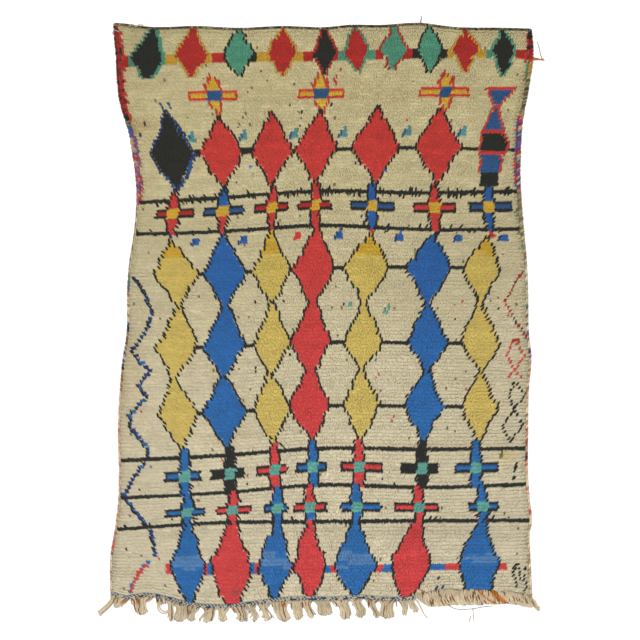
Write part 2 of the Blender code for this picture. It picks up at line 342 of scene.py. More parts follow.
def tubes(
    paths: np.ndarray,
    radii: np.ndarray,
    sides: int,
    values: dict[str, np.ndarray],
    reference: np.ndarray = UP,
    closed: bool = False,
    rooted: bool = False,
    flat: np.ndarray | float = 1.0,
) -> Surface:
    """Skins along many paths at once: on each path point p stands a ring of points.

    A ring point is p + radius * (cos a * side + flat * sin a * top), where side is the path's direction
    crossed with the reference, and top is side crossed with the direction. An open path's first and last
    points are the poles that close its skin; a closed path has a ring on every point.

    Args:
        paths: (m, n, 3) points of m paths.
        radii: (m, n) radius at each point.
        sides: points in a ring; the first stands on top.
        values: what the points carry, as per_point takes it; "along", 0 to 1, is added.
        reference: a direction that no path runs along, broadcast to the paths.
        closed: whether each path returns to its start.
        rooted: whether an open path starts with an open ring, for a root that is sunk in something else.
        flat: height of a ring as a share of its width, broadcast to (m, n).

    Returns:
        One surface, in which every path is an item.
    """
    count, length = paths.shape[:2]
    if closed:
        heading = np.roll(paths, -1, axis=1) - np.roll(paths, 1, axis=1)
    else:
        heading = np.gradient(paths, axis=1)
    side = unit(np.cross(heading, reference))
    top = unit(np.cross(side, heading))
    turn = np.arange(sides) * TAU / sides + TAU / 4
    radius = np.broadcast_to(radii, (count, length))[..., None, None]
    height = radius * np.broadcast_to(flat, (count, length))[..., None, None]
    rings = paths[:, :, None] + radius * np.cos(turn)[:, None] * side[:, :, None]
    rings = rings + height * np.sin(turn)[:, None] * top[:, :, None]
    share = np.linspace(0, 1, length + 1 if closed else length)
    values = {**values, "along": np.repeat(share[None, :length], count, axis=0)}
    spread = {name: per_point(value, paths) for name, value in values.items()}

    first = 0 if closed or rooted else 1
    ring_rows = length if closed else length - 1 - first
    low = np.arange(ring_rows if closed else ring_rows - 1)[:, None]
    high = (low + 1) % ring_rows
    now = np.arange(sides)[None]
    after = (now + 1) % sides
    corners = [(low, now, 0, 0), (high, now, 1, 0), (high, after, 1, 1), (low, after, 0, 1)]
    groups = [np.stack([row * sides + place for row, place, _, _ in corners], axis=-1).reshape(-1, 4)]
    squares = [paired((now + turned) / sides, share[low + up + first]) for _, _, up, turned in corners]
    group_maps = [np.stack(squares, axis=-2).reshape(-1, 4, 2)]
    per_tube = ring_rows * sides
    ringed = slice(first, None if closed else -1)
    points = rings[:, ringed].reshape(count, per_tube, 3)
    shares = {name: np.repeat(value[:, ringed], sides, axis=1) for name, value in spread.items()}
    if not closed:
        poles = [-1] if rooted else [-1, 0]
        points = np.concatenate([points, paths[:, poles]], axis=1)
        for name, value in spread.items():
            shares[name] = np.concatenate([shares[name], value[:, poles]], axis=1)
        now, after = now[0], after[0]
        start, middle, stop, pole = now / sides, (now + 0.5) / sides, (now + 1) / sides, 0 * now
        last = per_tube - sides
        fans = [np.stack([last + now, per_tube + pole, last + after], axis=-1)]
        fan_maps = [[paired(start, share[-2]), paired(middle, 1.0), paired(stop, share[-2])]]
        if not rooted:
            fans.append(np.stack([now, after, per_tube + 1 + pole], axis=-1))
            fan_maps.append([paired(start, share[1]), paired(stop, share[1]), paired(middle, 0.0)])
        groups.append(np.concatenate(fans))
        group_maps.append(np.concatenate([np.stack(fan, axis=-2) for fan in fan_maps]))
        per_tube += len(poles)
    offset = np.arange(count)[:, None, None] * per_tube
    faces = [(group[None] + offset).reshape(-1, group.shape[-1]) for group in groups]
    maps = [np.tile(group, (count, 1, 1)) for group in group_maps]
    items = [np.repeat(np.arange(count), len(group)) for group in groups]
    carried = {name: value.reshape(-1, *value.shape[2:]) for name, value in shares.items()}
    return Surface(points.reshape(-1, 3), faces, maps, items, carried)


def rope(
    centre: np.ndarray, sideways: np.ndarray, strands: int, radius: float, pitch: float, turn: int = 1
) -> np.ndarray:
    """Paths of strands laid round a centre line: centre + radius * (cos a * sideways + sin a * up).

    Args:
        centre: (n, 3) evenly spaced points.
        sideways: (n, 3) unit vectors across the line.
        strands: how many strands are laid together.
        radius: distance from the centre line to a strand's own.
        pitch: length of one full turn.
        turn: +1 or -1, the way that it is laid.

    Returns:
        (strands, n, 3) points.
    """
    angle = turn * TAU * (running(centre)[None] / pitch + np.arange(strands)[:, None] / strands)
    return centre + radius * np.cos(angle)[..., None] * sideways + radius * np.sin(angle)[..., None] * UP


# ---------------------------------------------------------------------------------------------------------
# Finishes


def lot_colours(yarns: np.ndarray, lot: np.ndarray | float) -> np.ndarray:
    """Linear colours of yarns.

    Args:
        yarns: a yarn for each place.
        lot: 0 for the head colours and 1 for the foot colours, or between them.

    Returns:
        A linear colour for each place.
    """
    head = to_linear(np.array([DYES[yarn].head for yarn in Yarn]))
    foot = to_linear(np.array([DYES[yarn].foot for yarn in Yarn]))
    lot = np.asarray(lot, float)[..., None]
    return head[yarns] * (1 - lot) + foot[yarns] * lot


def lot_at(y: np.ndarray) -> np.ndarray:
    """How far a place is from the head colours towards the foot colours: 1 up to a third of the way, then
    slowly 0.
    """
    return 1 - smoothstep(y, -0.72, 0.82)


class Stain(NamedTuple):
    """A faint mark: its middle and half sizes in metres, and the share of each colour that it leaves."""

    x: float
    y: float
    half_wide: float
    half_high: float
    leaves: tuple[float, float, float]


STAINS = [
    Stain(-0.60, 0.90, 0.14, 0.12, (0.86, 0.86, 0.84)),
    Stain(-0.61, 0.62, 0.035, 0.040, (0.78, 0.66, 0.50)),
    Stain(-0.555, 0.64, 0.030, 0.020, (0.88, 0.80, 0.66)),
    Stain(-0.27, -0.855, 0.012, 0.010, (0.55, 1.4, 1.2)),
    Stain(0.28, -0.385, 0.27, 0.016, (0.93, 0.89, 0.85)),
    Stain(-0.30, -0.36, 0.20, 0.012, (0.95, 0.91, 0.86)),
    Stain(0.30, -0.668, 0.34, 0.018, (0.90, 0.88, 0.87)),
    Stain(0.60, -0.42, 0.030, 0.020, (1.0, 0.95, 0.66)),
    Stain(-0.62, -0.15, 0.05, 0.20, (0.95, 0.91, 0.86)),
    Stain(0.15, 0.74, 0.45, 0.03, (0.94, 0.92, 0.88)),
]


def stained(dye: np.ndarray, x: np.ndarray, y: np.ndarray) -> np.ndarray:
    """Linear colours with every stain laid over them as a soft round mark, exp(-u^2 - v^2).

    Args:
        dye: the clean colours.
        x: their places across.
        y: their places along.

    Returns:
        The soiled colours.
    """
    for spot in STAINS:
        depth = np.exp(-(((x - spot.x) / spot.half_wide) ** 2) - ((y - spot.y) / spot.half_high) ** 2)
        dye = dye * (1 - depth[..., None] * (1 - np.array(spot.leaves)))
    return dye


class Wiring:
    """Adds nodes to one node tree in a single call each."""

    def __init__(self, tree: NodeTree) -> None:
        """Keeps the tree to add to."""
        self.tree = tree

    def link(self, value: NodeSocket, socket: NodeSocket) -> None:
        """Leads an output to an input."""
        self.tree.links.new(value, socket)

    def node(self, kind: str, settings: dict | None = None, **inputs: object) -> Node:
        """A node with its settings made and its inputs set or linked.

        Args:
            kind: the node's type name without its "ShaderNode" start.
            settings: the node's own properties.
            **inputs: a socket's name, or i and its number, with a value or an output to link.

        Returns:
            The node.
        """
        made = self.tree.nodes.new(f"ShaderNode{kind}")
        for name, value in (settings or {}).items():
            setattr(made, name, value)
        for name, value in inputs.items():
            numbered = name.startswith("i") and name[1:].isdigit()
            socket = made.inputs[int(name[1:]) if numbered else name.replace("_", " ")]
            if isinstance(value, NodeSocket):
                self.link(value, socket)
            else:
                socket.default_value = value
        return made

    def maths(self, operation: str, *numbers: NodeSocket | float) -> NodeSocket:
        """One Math node's result."""
        inputs = {f"i{k}": value for k, value in enumerate(numbers)}
        return self.node("Math", {"operation": operation}, **inputs).outputs[0]

    def product(self, first: NodeSocket, *others: NodeSocket | float) -> NodeSocket:
        """The product of two or more numbers."""
        for other in others:
            first = self.maths("MULTIPLY", first, other)
        return first

    def remap(self, value: NodeSocket, low: float, high: float, to_low: float, to_high: float) -> NodeSocket:
        """A value carried from one range to another, held inside it."""
        return self.node("MapRange", None, i0=value, i1=low, i2=high, i3=to_low, i4=to_high).outputs[0]

    def tinted(self, colour: NodeSocket, share: NodeSocket) -> NodeSocket:
        """A colour scaled by a number."""
        return self.node("VectorMath", {"operation": "SCALE"}, i0=colour, Scale=share).outputs[0]

    def own_place(self) -> NodeOutputs:
        """X and Y on the own unit square of each lock, strand or side."""
        own = self.node("UVMap", {"uv_map": "UVMap"}).outputs[0]
        return self.node("SeparateXYZ", None, Vector=own).outputs

    def carried(self, name: str, kind: str = "Fac") -> NodeSocket:
        """A value that the surface's points carry."""
        return self.node("Attribute", {"attribute_name": name}).outputs[kind]

    def shared(self, group: NodeTree, **inputs: object) -> NodeOutputs:
        """The outputs of a shared effect."""
        return self.node("Group", {"node_tree": group}, **inputs).outputs


WHITE = (1.0, 1.0, 1.0, 1.0)


def new_group(name: str, **inputs: float) -> tuple[Wiring, NodeOutputs, NodeInputs]:
    """An empty shader node group from a dye and some numbers to a colour and a height.

    Args:
        name: the group's name.
        **inputs: each number's socket name, with _ for a space, and its default.

    Returns:
        The group's wiring, the sockets that come in and the sockets that go out.
    """
    group = bpy.data.node_groups.new(name, "ShaderNodeTree")
    for label, default in {"Dye": WHITE, **inputs}.items():
        kind = "NodeSocketColor" if label == "Dye" else "NodeSocketFloat"
        socket = group.interface.new_socket(label.replace("_", " "), in_out="INPUT", socket_type=kind)
        socket.default_value = default
    group.interface.new_socket("Colour", in_out="OUTPUT", socket_type="NodeSocketColor")
    group.interface.new_socket("Height", in_out="OUTPUT", socket_type="NodeSocketFloat")
    source, sink = group.nodes.new("NodeGroupInput"), group.nodes.new("NodeGroupOutput")
    return Wiring(group), source.outputs, sink.inputs


class Groups:
    """The shader effects that several finishes share, each built once."""

    @staticmethod
    @cache
    def fibre() -> NodeTree:
        """Spun wool: fine streaks along the locks, single off-shade fibres, and slow soiling.

        Light = root shade * tone * streak * soil, each a number near one, scales the dye.

        Returns:
            The group.
        """
        wire, given, sink = new_group(
            "wool_fibre", Along=1.0, Tone=0.5, Root_Shade=0.6, Tone_Spread=0.2, Streak=0.12, Soil=0.08
        )
        place = wire.node("TexCoord").outputs["Object"]
        own = wire.own_place()
        lengthwise = wire.node(
            "CombineXYZ",
            X=wire.product(own["X"], 16.0),
            Y=wire.product(own["Y"], 2.0),
            Z=wire.product(given["Tone"], 90.0),
        )
        streak = wire.node("TexNoise", Vector=lengthwise.outputs[0], Scale=1.0, Detail=3.0).outputs["Fac"]
        patch = wire.node("TexNoise", Vector=place, Scale=7.0, Detail=5.0, Roughness=0.6).outputs["Fac"]
        fleck = wire.node("TexNoise", Vector=place, Scale=130.0, Detail=2.0).outputs["Fac"]

        root = wire.remap(given["Along"], 0.15, 0.8, 0.0, 1.0)
        depth = wire.maths("SUBTRACT", 1.0, given["Root Shade"])
        root = wire.maths("MULTIPLY_ADD", root, depth, given["Root Shade"])
        tone = wire.maths("SUBTRACT", given["Tone"], 0.5)
        tone = wire.maths("MULTIPLY_ADD", tone, given["Tone Spread"], 1.0)
        fine = wire.maths("MULTIPLY_ADD", wire.remap(streak, 0.3, 0.7, -1.0, 1.0), given["Streak"], 1.0)
        soil = wire.maths("MULTIPLY_ADD", wire.remap(patch, 0.3, 0.7, -1.0, 1.0), given["Soil"], 1.0)
        grain = wire.remap(fleck, 0.3, 0.7, 0.94, 1.06)
        light = wire.product(wire.product(root, tone), wire.product(fine, soil), grain)
        wire.link(wire.tinted(given["Dye"], light), sink["Colour"])
        wire.link(streak, sink["Height"])
        return wire.tree

    @staticmethod
    @cache
    def twist() -> NodeTree:
        """Plied yarn: ridges that wind round a strand, |sin(pi (plies * round + turns * along))| high, with
        painted shade that darkens the dye in the grooves between them.

        Returns:
            The group.
        """
        wire, given, sink = new_group("plied_twist", Plies=2.0, Turns=12.0, Groove=0.35)
        own = wire.own_place()
        around, along = wire.product(own["X"], given["Plies"]), wire.product(own["Y"], given["Turns"])
        angle = wire.product(wire.maths("ADD", around, along), np.pi)
        ridge = wire.maths("ABSOLUTE", wire.maths("SINE", angle))
        # Painted shade: the dye is darkened in the grooves between the plies, by up to the groove share.
        shade = wire.maths("SUBTRACT", 1.0, given["Groove"])
        shade = wire.maths("MULTIPLY_ADD", ridge, given["Groove"], shade)
        wire.link(wire.tinted(given["Dye"], shade), sink["Colour"])
        wire.link(ridge, sink["Height"])
        return wire.tree

    @staticmethod
    @cache
    def knot_back() -> NodeTree:
        """The knotted back: two small loops of each knot, side by side, with a weft between the rows, and
        painted shade that darkens the dye in the hollows between them.

        Returns:
            The group.
        """
        wire, given, sink = new_group("knotted_back", Knots=210.0, Rows=160.0)
        own = wire.own_place()
        loop = wire.maths("SINE", wire.product(own["X"], given["Knots"], TAU))
        row = wire.maths("SINE", wire.product(own["Y"], given["Rows"], np.pi))
        loop, row = wire.maths("ABSOLUTE", loop), wire.maths("ABSOLUTE", row)
        height = wire.product(wire.maths("POWER", loop, 0.6), wire.maths("POWER", row, 0.5))
        # Painted shade: the dye falls to 0.45 of itself where the height is low, in the hollows.
        wire.link(wire.tinted(given["Dye"], wire.remap(height, 0.0, 0.8, 0.45, 1.0)), sink["Colour"])
        wire.link(height, sink["Height"])
        return wire.tree


def new_material(name: str, roughness: float, specular: float) -> tuple[Material, Wiring, NodeInputs]:
    """A node material with a matt shader.

    Args:
        name: the material's name.
        roughness: its roughness.
        specular: its specular level.

    Returns:
        The material, its wiring and the shader's inputs.
    """
    made = bpy.data.materials.new(name)
    made.use_nodes = True
    inputs = made.node_tree.nodes["Principled BSDF"].inputs
    inputs["Roughness"].default_value = roughness
    inputs["Specular IOR Level"].default_value = specular
    return made, Wiring(made.node_tree), inputs


@dataclass(frozen=True)
class WoolFinish:
    """Matt hand-spun wool whose dye comes from a point attribute.

    Attributes:
        name: the material's name.
        root_shade: light at the root of a lock, where its neighbours close over it.
        tone_spread: difference between a pale lock and a dark one.
        streak: depth of the fine streaks.
        soil: depth of the slow soiling.
        bump: how far the fibres stand out, in metres.
        sheen: the soft light on wool's rim.
        plies: plies of a twisted strand, or 0 where no twist shows.
        turns: turns of that twist along a strand.
    """

    name: str
    root_shade: float = 1.0
    tone_spread: float = 0.20
    streak: float = 0.10
    soil: float = 0.05
    bump: float = 0.0006
    sheen: float = 0.04
    plies: float = 0.0
    turns: float = 0.0

    def material(self) -> Material:
        """The finish as a node material.

        Returns:
            The material.
        """
        made, wire, shader = new_material(self.name, 0.92, 0.08)
        shader["Sheen Weight"].default_value = self.sheen
        shader["Sheen Roughness"].default_value = 0.6
        dye = wire.carried("dye", "Color")
        if self.plies:
            twist = wire.shared(Groups.twist(), Dye=dye, Plies=self.plies, Turns=self.turns)
            dye = twist["Colour"]
        fibre = wire.shared(
            Groups.fibre(), Dye=dye, Along=wire.carried("along"), Tone=wire.carried("tone"),
            Root_Shade=self.root_shade, Tone_Spread=self.tone_spread, Streak=self.streak, Soil=self.soil,
        )
        height = fibre["Height"]
        if self.plies:
            height = wire.maths("MULTIPLY_ADD", twist["Height"], 2.0, height)
        bump = wire.node("Bump", Strength=0.6, Distance=self.bump, Height=height)
        wire.link(fibre["Colour"], shader["Base Color"])
        wire.link(bump.outputs["Normal"], shader["Normal"])
        return made


@dataclass(frozen=True)
class GroundFinish:
    """The firm weave under the pile, with the backs of the knots showing underneath."""

    name: str
    knots: float
    rows: float

    def material(self) -> Material:
        """The finish as a node material.

        Returns:
            The material.
        """
        made, wire, shader = new_material(self.name, 0.95, 0.12)
        dye = wire.carried("dye", "Color")
        back = wire.shared(Groups.knot_back(), Dye=dye, Knots=self.knots, Rows=self.rows)
        fibre = wire.shared(Groups.fibre(), Dye=back["Colour"], Along=1.0, Tone=0.5, Soil=0.08)
        bump = wire.node("Bump", Strength=0.7, Distance=0.0012, Height=back["Height"])
        wire.link(fibre["Colour"], shader["Base Color"])
        wire.link(bump.outputs["Normal"], shader["Normal"])
        return made


# ---------------------------------------------------------------------------------------------------------
# The rug's plan and its loom


RAIL_GAP = 3.5 * MM  # between the inner rail of a binding, by the weave's edge, and the outer one


def node_ring(node: str) -> np.ndarray:
    """The outline of a CAD solid on the floor.

    Args:
        node: the solid's name.

    Returns:
        (n, 2) points, in no order.
    """
    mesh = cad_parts[node].data
    points = np.empty(len(mesh.vertices) * 3, np.float32)
    mesh.vertices.foreach_get("co", points)
    points = points.reshape(-1, 3).astype(float)
    low = points[points[:, 2] < 0.1 * MM, :2]
    return np.unique(np.round(low, 6), axis=0)


class RugPlan:
    """The outline of the weave, read from the CAD solids: four edges and the rails of each binding."""

    def __init__(self) -> None:
        """Splits the pile's outline at its four corners."""
        ring = node_ring("pile_field")
        ring = ring[np.argsort(np.arctan2(ring[:, 1], ring[:, 0]))]
        corners = [np.argmax(ring @ way) for way in ((-1, -1), (1, -1), (1, 1), (-1, 1))]
        edges = []
        for start, stop, axis in zip(corners, corners[1:] + corners[:1], (0, 1, 0, 1)):
            part = ring[(start + np.arange((stop - start) % len(ring) + 1)) % len(ring)]
            edges.append(part[np.argsort(part[:, axis])])
        self.foot_edge, self.right_edge, self.head_edge, self.left_edge = edges

    def left(self, y: np.ndarray) -> np.ndarray:
        """The pile's left edge at a height along the rug."""
        return np.interp(y, self.left_edge[:, 1], self.left_edge[:, 0])

    def right(self, y: np.ndarray) -> np.ndarray:
        """The pile's right edge at a height along the rug."""
        return np.interp(y, self.right_edge[:, 1], self.right_edge[:, 0])

    def head(self, x: np.ndarray) -> np.ndarray:
        """The pile's head edge at a place across the rug."""
        return np.interp(x, self.head_edge[:, 0], self.head_edge[:, 1])

    def foot(self, x: np.ndarray) -> np.ndarray:
        """The pile's foot edge at a place across the rug."""
        return np.interp(x, self.foot_edge[:, 0], self.foot_edge[:, 1])

    def depth(self, x: np.ndarray, y: np.ndarray) -> np.ndarray:
        """Distance from a place to the nearest edge of the weave."""
        return np.min([x - self.left(y), self.right(y) - x, y - self.foot(x), self.head(x) - y], axis=0)

    def foot_at(self, x: float) -> float:
        """The pile's foot edge at one place."""
        return self.foot(np.array([x]))[0]

    def rails(self, node: str, side: int, axis: int, samples: int) -> list[np.ndarray]:
        """The two rails of a binding, read at the same places along it.

        Args:
            node: its CAD solid.
            side: -1 at the left or the foot, 1 at the right or the head.
            axis: 0 where the binding runs across the rug, 1 where it runs up it.
            samples: how many places.

        Returns:
            The places, then the outer and the inner rail there.
        """
        ring = node_ring(node)
        edge = ((self.foot, self.head), (self.left, self.right))[axis][side > 0]
        outside = side * (ring[:, 1 - axis] - edge(ring[:, axis])) > RAIL_GAP
        rails = [part[np.argsort(part[:, axis])] for part in (ring[outside], ring[~outside])]
        first, last = max(rail[0, axis] for rail in rails), min(rail[-1, axis] for rail in rails)
        at = np.linspace(first, last, samples)
        return [at, *(np.interp(at, rail[:, axis], rail[:, 1 - axis]) for rail in rails)]

    def end_line(self, node: str, side: int, samples: int, step: float) -> tuple[np.ndarray, np.ndarray]:
        """The middle of a binding at the head or the foot: halfway between its two rails, at half its height.

        Args:
            node: its CAD solid.
            side: 1 at the head, -1 at the foot.
            samples: places that the rails are read at.
            step: distance between the line's points.

        Returns:
            (n, 3) points from left to right, and the (n, 3) unit vectors across the line.
        """
        x, outer, inner = self.rails(node, side, 0, samples)
        line = evenly(np.column_stack([x, (outer + inner) / 2]), step)
        along = unit(np.gradient(line, axis=0))
        low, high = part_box(node)
        sideways = np.column_stack([-along[:, 1], along[:, 0], np.zeros(len(line))])
        return np.column_stack([line, np.full(len(line), (low[2] + high[2]) / 2)]), sideways


class Course(NamedTuple):
    """How high one row of knots lies, in loom millimetres, at five places across."""

    row: float
    left: float
    near_left: float
    middle: float
    near_right: float
    right: float


COURSE_STATIONS = (-640, -320, 0, 336, 656)
COURSES = [
    Course(8.5, 90, 93, 97, 102, 106),
    Course(20.5, 219, 240, 243, 246, 247),
    Course(30.5, 318, 334, 360, 352, 362),
    Course(40.5, 438, 454, 477, 474, 477),
    Course(62.5, 701, 706, 726, 726, 717),
    Course(82.0, 934, 938, 944, 941, 944),
    Course(91.5, 1030, 1037, 1053, 1056, 1050),
    Course(102.5, 1160, 1170, 1190, 1176, 1178),
    Course(112.5, 1258, 1277, 1299, 1293, 1299),
    Course(125.0, 1411, 1424, 1437, 1443, 1434),
    Course(141.0, 1606, 1610, 1616, 1621, 1622),
    Course(151.0, 1704, 1720, 1725, 1734, 1733),
]


class Loom:
    """Where each knot lies: rows of knots that bend as the weaver beat them, between the rug's own edges."""

    rows = 160
    knots = 210

    def __init__(self, plan: RugPlan) -> None:
        """Keeps the plan and the heights of the measured rows."""
        self.plan = plan
        self._course_rows = np.array([0.0, *(c.row for c in COURSES), self.rows])
        self._stations = np.array(COURSE_STATIONS) * MM + CENTRE_LINE_X
        self._heights = np.array([c[1:] for c in COURSES]) * MM + FOOT_LINE_Y

    def height(self, x: np.ndarray, row: np.ndarray) -> np.ndarray:
        """How far up a row lies: straight between the measured rows above and below it.

        Args:
            x: places across.
            row: the row at each.

        Returns:
            y at each.
        """
        between = [hermite(x, self._stations, heights) for heights in self._heights]
        levels = np.stack([self.plan.foot(x), *between, self.plan.head(x)])
        i = np.clip(np.searchsorted(self._course_rows, row, side="right") - 1, 0, len(levels) - 2)
        t = (row - self._course_rows[i]) / (self._course_rows[i + 1] - self._course_rows[i])
        low, high = (np.take_along_axis(levels, i[None] + up, axis=0)[0] for up in (0, 1))
        return low * (1 - t) + high * t

    def place(self, knot: np.ndarray, row: np.ndarray) -> np.ndarray:
        """A place on the grid, settled in a few rounds because the edges and rows both bend.

        Args:
            knot: knots from the left edge.
            row: rows from the foot.

        Returns:
            (x, y) of each, on a last axis.
        """
        share = knot / self.knots
        x = (share - 0.5) * 1.3
        for _ in range(3):
            y = self.height(x, row)
            x = self.plan.left(y) * (1 - share) + self.plan.right(y) * share
        return paired(x, self.height(x, row))


# ---------------------------------------------------------------------------------------------------------
# The chart and its motifs


class Chart:
    """What is tied on every knot.

    Attributes:
        yarn: the knot's yarn.
        under: the yarn of the felted pile round its root, which shows between thin dashes.
        thin: whether its lock is a single narrow dash that stands proud of the pile.
        extra: how much longer, or shorter, its lock was left, as a share.
    """

    def __init__(self, rows: int, knots: int, seed: int) -> None:
        """An all-cream chart."""
        self.yarn = np.full((rows, knots), int(CREAM))
        self.under = self.yarn.copy()
        self.thin = np.zeros((rows, knots), bool)
        self.extra = np.zeros((rows, knots))
        self.rng = np.random.default_rng(seed)

    def tie(self, row: float, start: float, stop: float, yarn: Yarn, extra: float = 0.0) -> None:
        """Ties one yarn from one place in a row to another.

        Args:
            row: the row.
            start: the first knot.
            stop: the knot after the last.
            yarn: what is tied.
            extra: how much longer its locks are, as a share.
        """
        row, chosen = int(np.floor(row)), slice(max(0, round(start)), max(0, round(stop)))
        if 0 <= row < len(self.yarn):
            self.yarn[row, chosen] = yarn
            self.under[row, chosen] = yarn
            self.thin[row, chosen] = False
            self.extra[row, chosen] = extra

    def dash(self, row: float, knot: float, yarn: Yarn, extra: float = 0.0) -> None:
        """Ties a thin dash on one knot and leaves the pile round it as it was.

        Args:
            row: the row.
            knot: the knot.
            yarn: what is tied.
            extra: how much longer the dash is, as a share.
        """
        place = int(np.floor(row)), int(np.floor(knot))
        if all(0 <= at < size for at, size in zip(place, self.yarn.shape)):
            self.yarn[place] = yarn
            self.thin[place] = True
            self.extra[place] = extra

    def grow(self, row: float, start: float, stop: float, extra: float) -> None:
        """Leaves the locks of a row longer, so that they cover part of the row above.

        Args:
            row: the row.
            start: the first knot.
            stop: the knot after the last.
            extra: how much longer they are, as a share.
        """
        row = int(np.floor(row))
        if 0 <= row < len(self.yarn):
            self.extra[row, max(0, round(start)) : max(0, round(stop))] = extra

    def stray(self, amount: float) -> float:
        """How far off the weaver was, in knots."""
        return float(self.rng.uniform(-amount, amount))

    def pick(self, yarns: Sequence[Yarn]) -> Yarn:
        """One of some yarns."""
        return yarns[int(self.rng.integers(len(yarns)))]


class Motif:
    """Something that is tied into the chart."""

    def tie(self, chart: Chart) -> None:
        """Ties its knots.

        Args:
            chart: what they are tied into.
        """
        raise NotImplementedError


@dataclass(frozen=True)
class Lozenge(Motif):
    """A diamond between two lines of dashes; tips are (knot, row), and the widest rows have a height.

    Attributes:
        top_half: half the fill's width at the upper tip.
        foot_half: half the fill's width at the lower tip.
        shoulder: rows above and below the side row over which the sides hold their width.
        wobble: how far the sides wander, in knots.
        upper_fill: a yarn used inside from upper_from to upper_to instead, if any.
        blend: how many rows the two yarns are mixed over at each of these.
        right_rim: how many knots wide the outline is on the right; 1 is a line of dashes, as on the left.
    """

    top: tuple[float, float]
    side_row: float
    left: float
    right: float
    foot: tuple[float, float]
    fill: Yarn
    outline: Yarn
    top_half: float = 0.5
    foot_half: float = 0.5
    shoulder: float = 0.0
    wobble: float = 0.45
    upper_fill: Yarn | None = None
    upper_from: float = 0.0
    upper_to: float = 160.0
    blend: float = 0.1
    right_rim: int = 1

    def tie(self, chart: Chart) -> None:
        """Both sides run from the foot to the side points and on to the top, wandering a little."""
        (top_knot, top_row), (foot_knot, foot_row) = self.top, self.foot
        rows = np.arange(max(0, int(np.floor(foot_row))), int(np.ceil(top_row)))
        levels = [foot_row, self.side_row - self.shoulder, self.side_row + self.shoulder + 0.01, top_row]
        inner_left, inner_right = self.left + 1, self.right - 1
        lefts = [foot_knot - self.foot_half, inner_left, inner_left, top_knot - self.top_half]
        rights = [foot_knot + self.foot_half, inner_right, inner_right, top_knot + self.top_half]
        lefts, rights = np.interp(rows + 0.5, levels, lefts), np.interp(rows + 0.5, levels, rights)
        phase = chart.rng.uniform(0, TAU, 4)
        for row, left, right in zip(rows, lefts, rights):
            left += self.wobble * (np.sin(0.9 * row + phase[0]) + 0.6 * np.sin(2.3 * row + phase[1]))
            right += self.wobble * (np.sin(0.8 * row + phase[2]) + 0.6 * np.sin(2.1 * row + phase[3]))
            middle = (left + right) / 2
            left, right = min(left, middle - 0.3), max(right, middle + 0.3)
            first, last = round(left), max(round(right), round(left) + 1)
            chart.tie(row, first, last, self.fill)
            if self.upper_fill is not None:
                depth = min(row + 0.5 - self.upper_from, self.upper_to - row - 0.5) / self.blend + 0.5
                shares = np.repeat(chart.rng.random((last - first) // 6 + 1), 6)[: last - first]
                for knot in first + np.flatnonzero(shares < depth):
                    chart.tie(row, knot, knot + 1, self.upper_fill)
            chart.dash(row, first - 1, self.outline, chart.stray(0.15))
            if self.right_rim > 1:
                chart.tie(row, last, last + self.right_rim, self.outline, chart.stray(0.2))
            else:
                chart.dash(row, last, self.outline, chart.stray(0.15))


@dataclass(frozen=True)
class Cross(Motif):
    """A small cross: a tapering upright, two arms between thin rims, and a heart of another yarn.

    Attributes:
        row: the arms' middle row.
        arm: the yarn of the arms' core.
        rim: the yarn round the arms.
        edge: the yarn of the dashes along the upright.
        halves: half the upright's width at its top, by the heart and at its foot.
        lean: knots that the upright moves to the right from its foot to its top.
        growths: how much longer the locks of the lower rim, the core and the upper rim are, as shares.
        under_growth: the same for the row beneath the arms, whose locks cover part of the lower rim.
    """

    knot: float
    row: int
    left: float
    right: float
    foot: int
    top: int
    arm: Yarn
    rim: Yarn
    upper: Yarn
    lower: Yarn
    heart: Yarn
    edge: Yarn
    halves: tuple[float, float, float]
    heart_half: float
    lean: float = 0.0
    growths: tuple[float, float, float] = (-0.15, 0.12, -0.62)
    under_growth: float = 0.6

    def tie(self, chart: Chart) -> None:
        """The upright first, then arms over it from rim to rim, and the heart over the crossing."""
        at_top, at_heart, at_foot = self.halves
        levels = [self.foot, self.row - 1, self.row + 2, self.top]
        for row in range(self.foot, self.top):
            half = np.interp(row, levels, [at_foot, at_heart, at_heart, at_top])
            middle = self.knot + self.lean * (row - self.row) / (self.top - self.foot) + chart.stray(0.3)
            first, last = round(middle - half), max(round(middle + half), round(middle - half) + 1)
            chart.tie(row, first, last, self.upper if row > self.row else self.lower)
            chart.dash(row, first - 1, self.edge)
            chart.dash(row, last, self.edge)
        rows = range(self.row - 1, self.row + 2)
        inner_left, inner_right = self.knot - self.heart_half + 0.4, self.knot + self.heart_half - 0.4
        for start, stop in ((self.left, inner_left), (inner_right, self.right)):
            chart.grow(self.row - 2, start, stop, self.under_growth)
            for row, growth in zip(rows, self.growths):
                near, far = start + chart.stray(0.5), stop + chart.stray(0.5)
                chart.tie(row, near, far, self.rim, growth)
                if row == self.row:
                    outer_left, outer_right = (1.0, 0.0) if start < self.knot - 5 else (0.0, 1.0)
                    chart.tie(row, near + outer_left, far - outer_right, self.arm, growth)
        for row in rows:
            middle = self.knot + 0.3 * (row - self.row)
            chart.tie(row, middle - self.heart_half, middle + self.heart_half, self.heart)


class Stretch(NamedTuple):
    """One yarn's part of a band, in knots."""

    start: float
    stop: float
    yarn: Yarn


@dataclass(frozen=True)
class Band(Motif):
    """A few rows tied in blocks of yarn, which run between motifs."""

    low: int
    high: int
    stretches: Sequence[Stretch]
    extra: float = 0.0

    def tie(self, chart: Chart) -> None:
        """Each block is tied over the band's rows."""
        for start, stop, yarn in self.stretches:
            for row in range(self.low, self.high + 1):
                chart.tie(row, start + chart.stray(0.4), stop + chart.stray(0.4), yarn, self.extra)


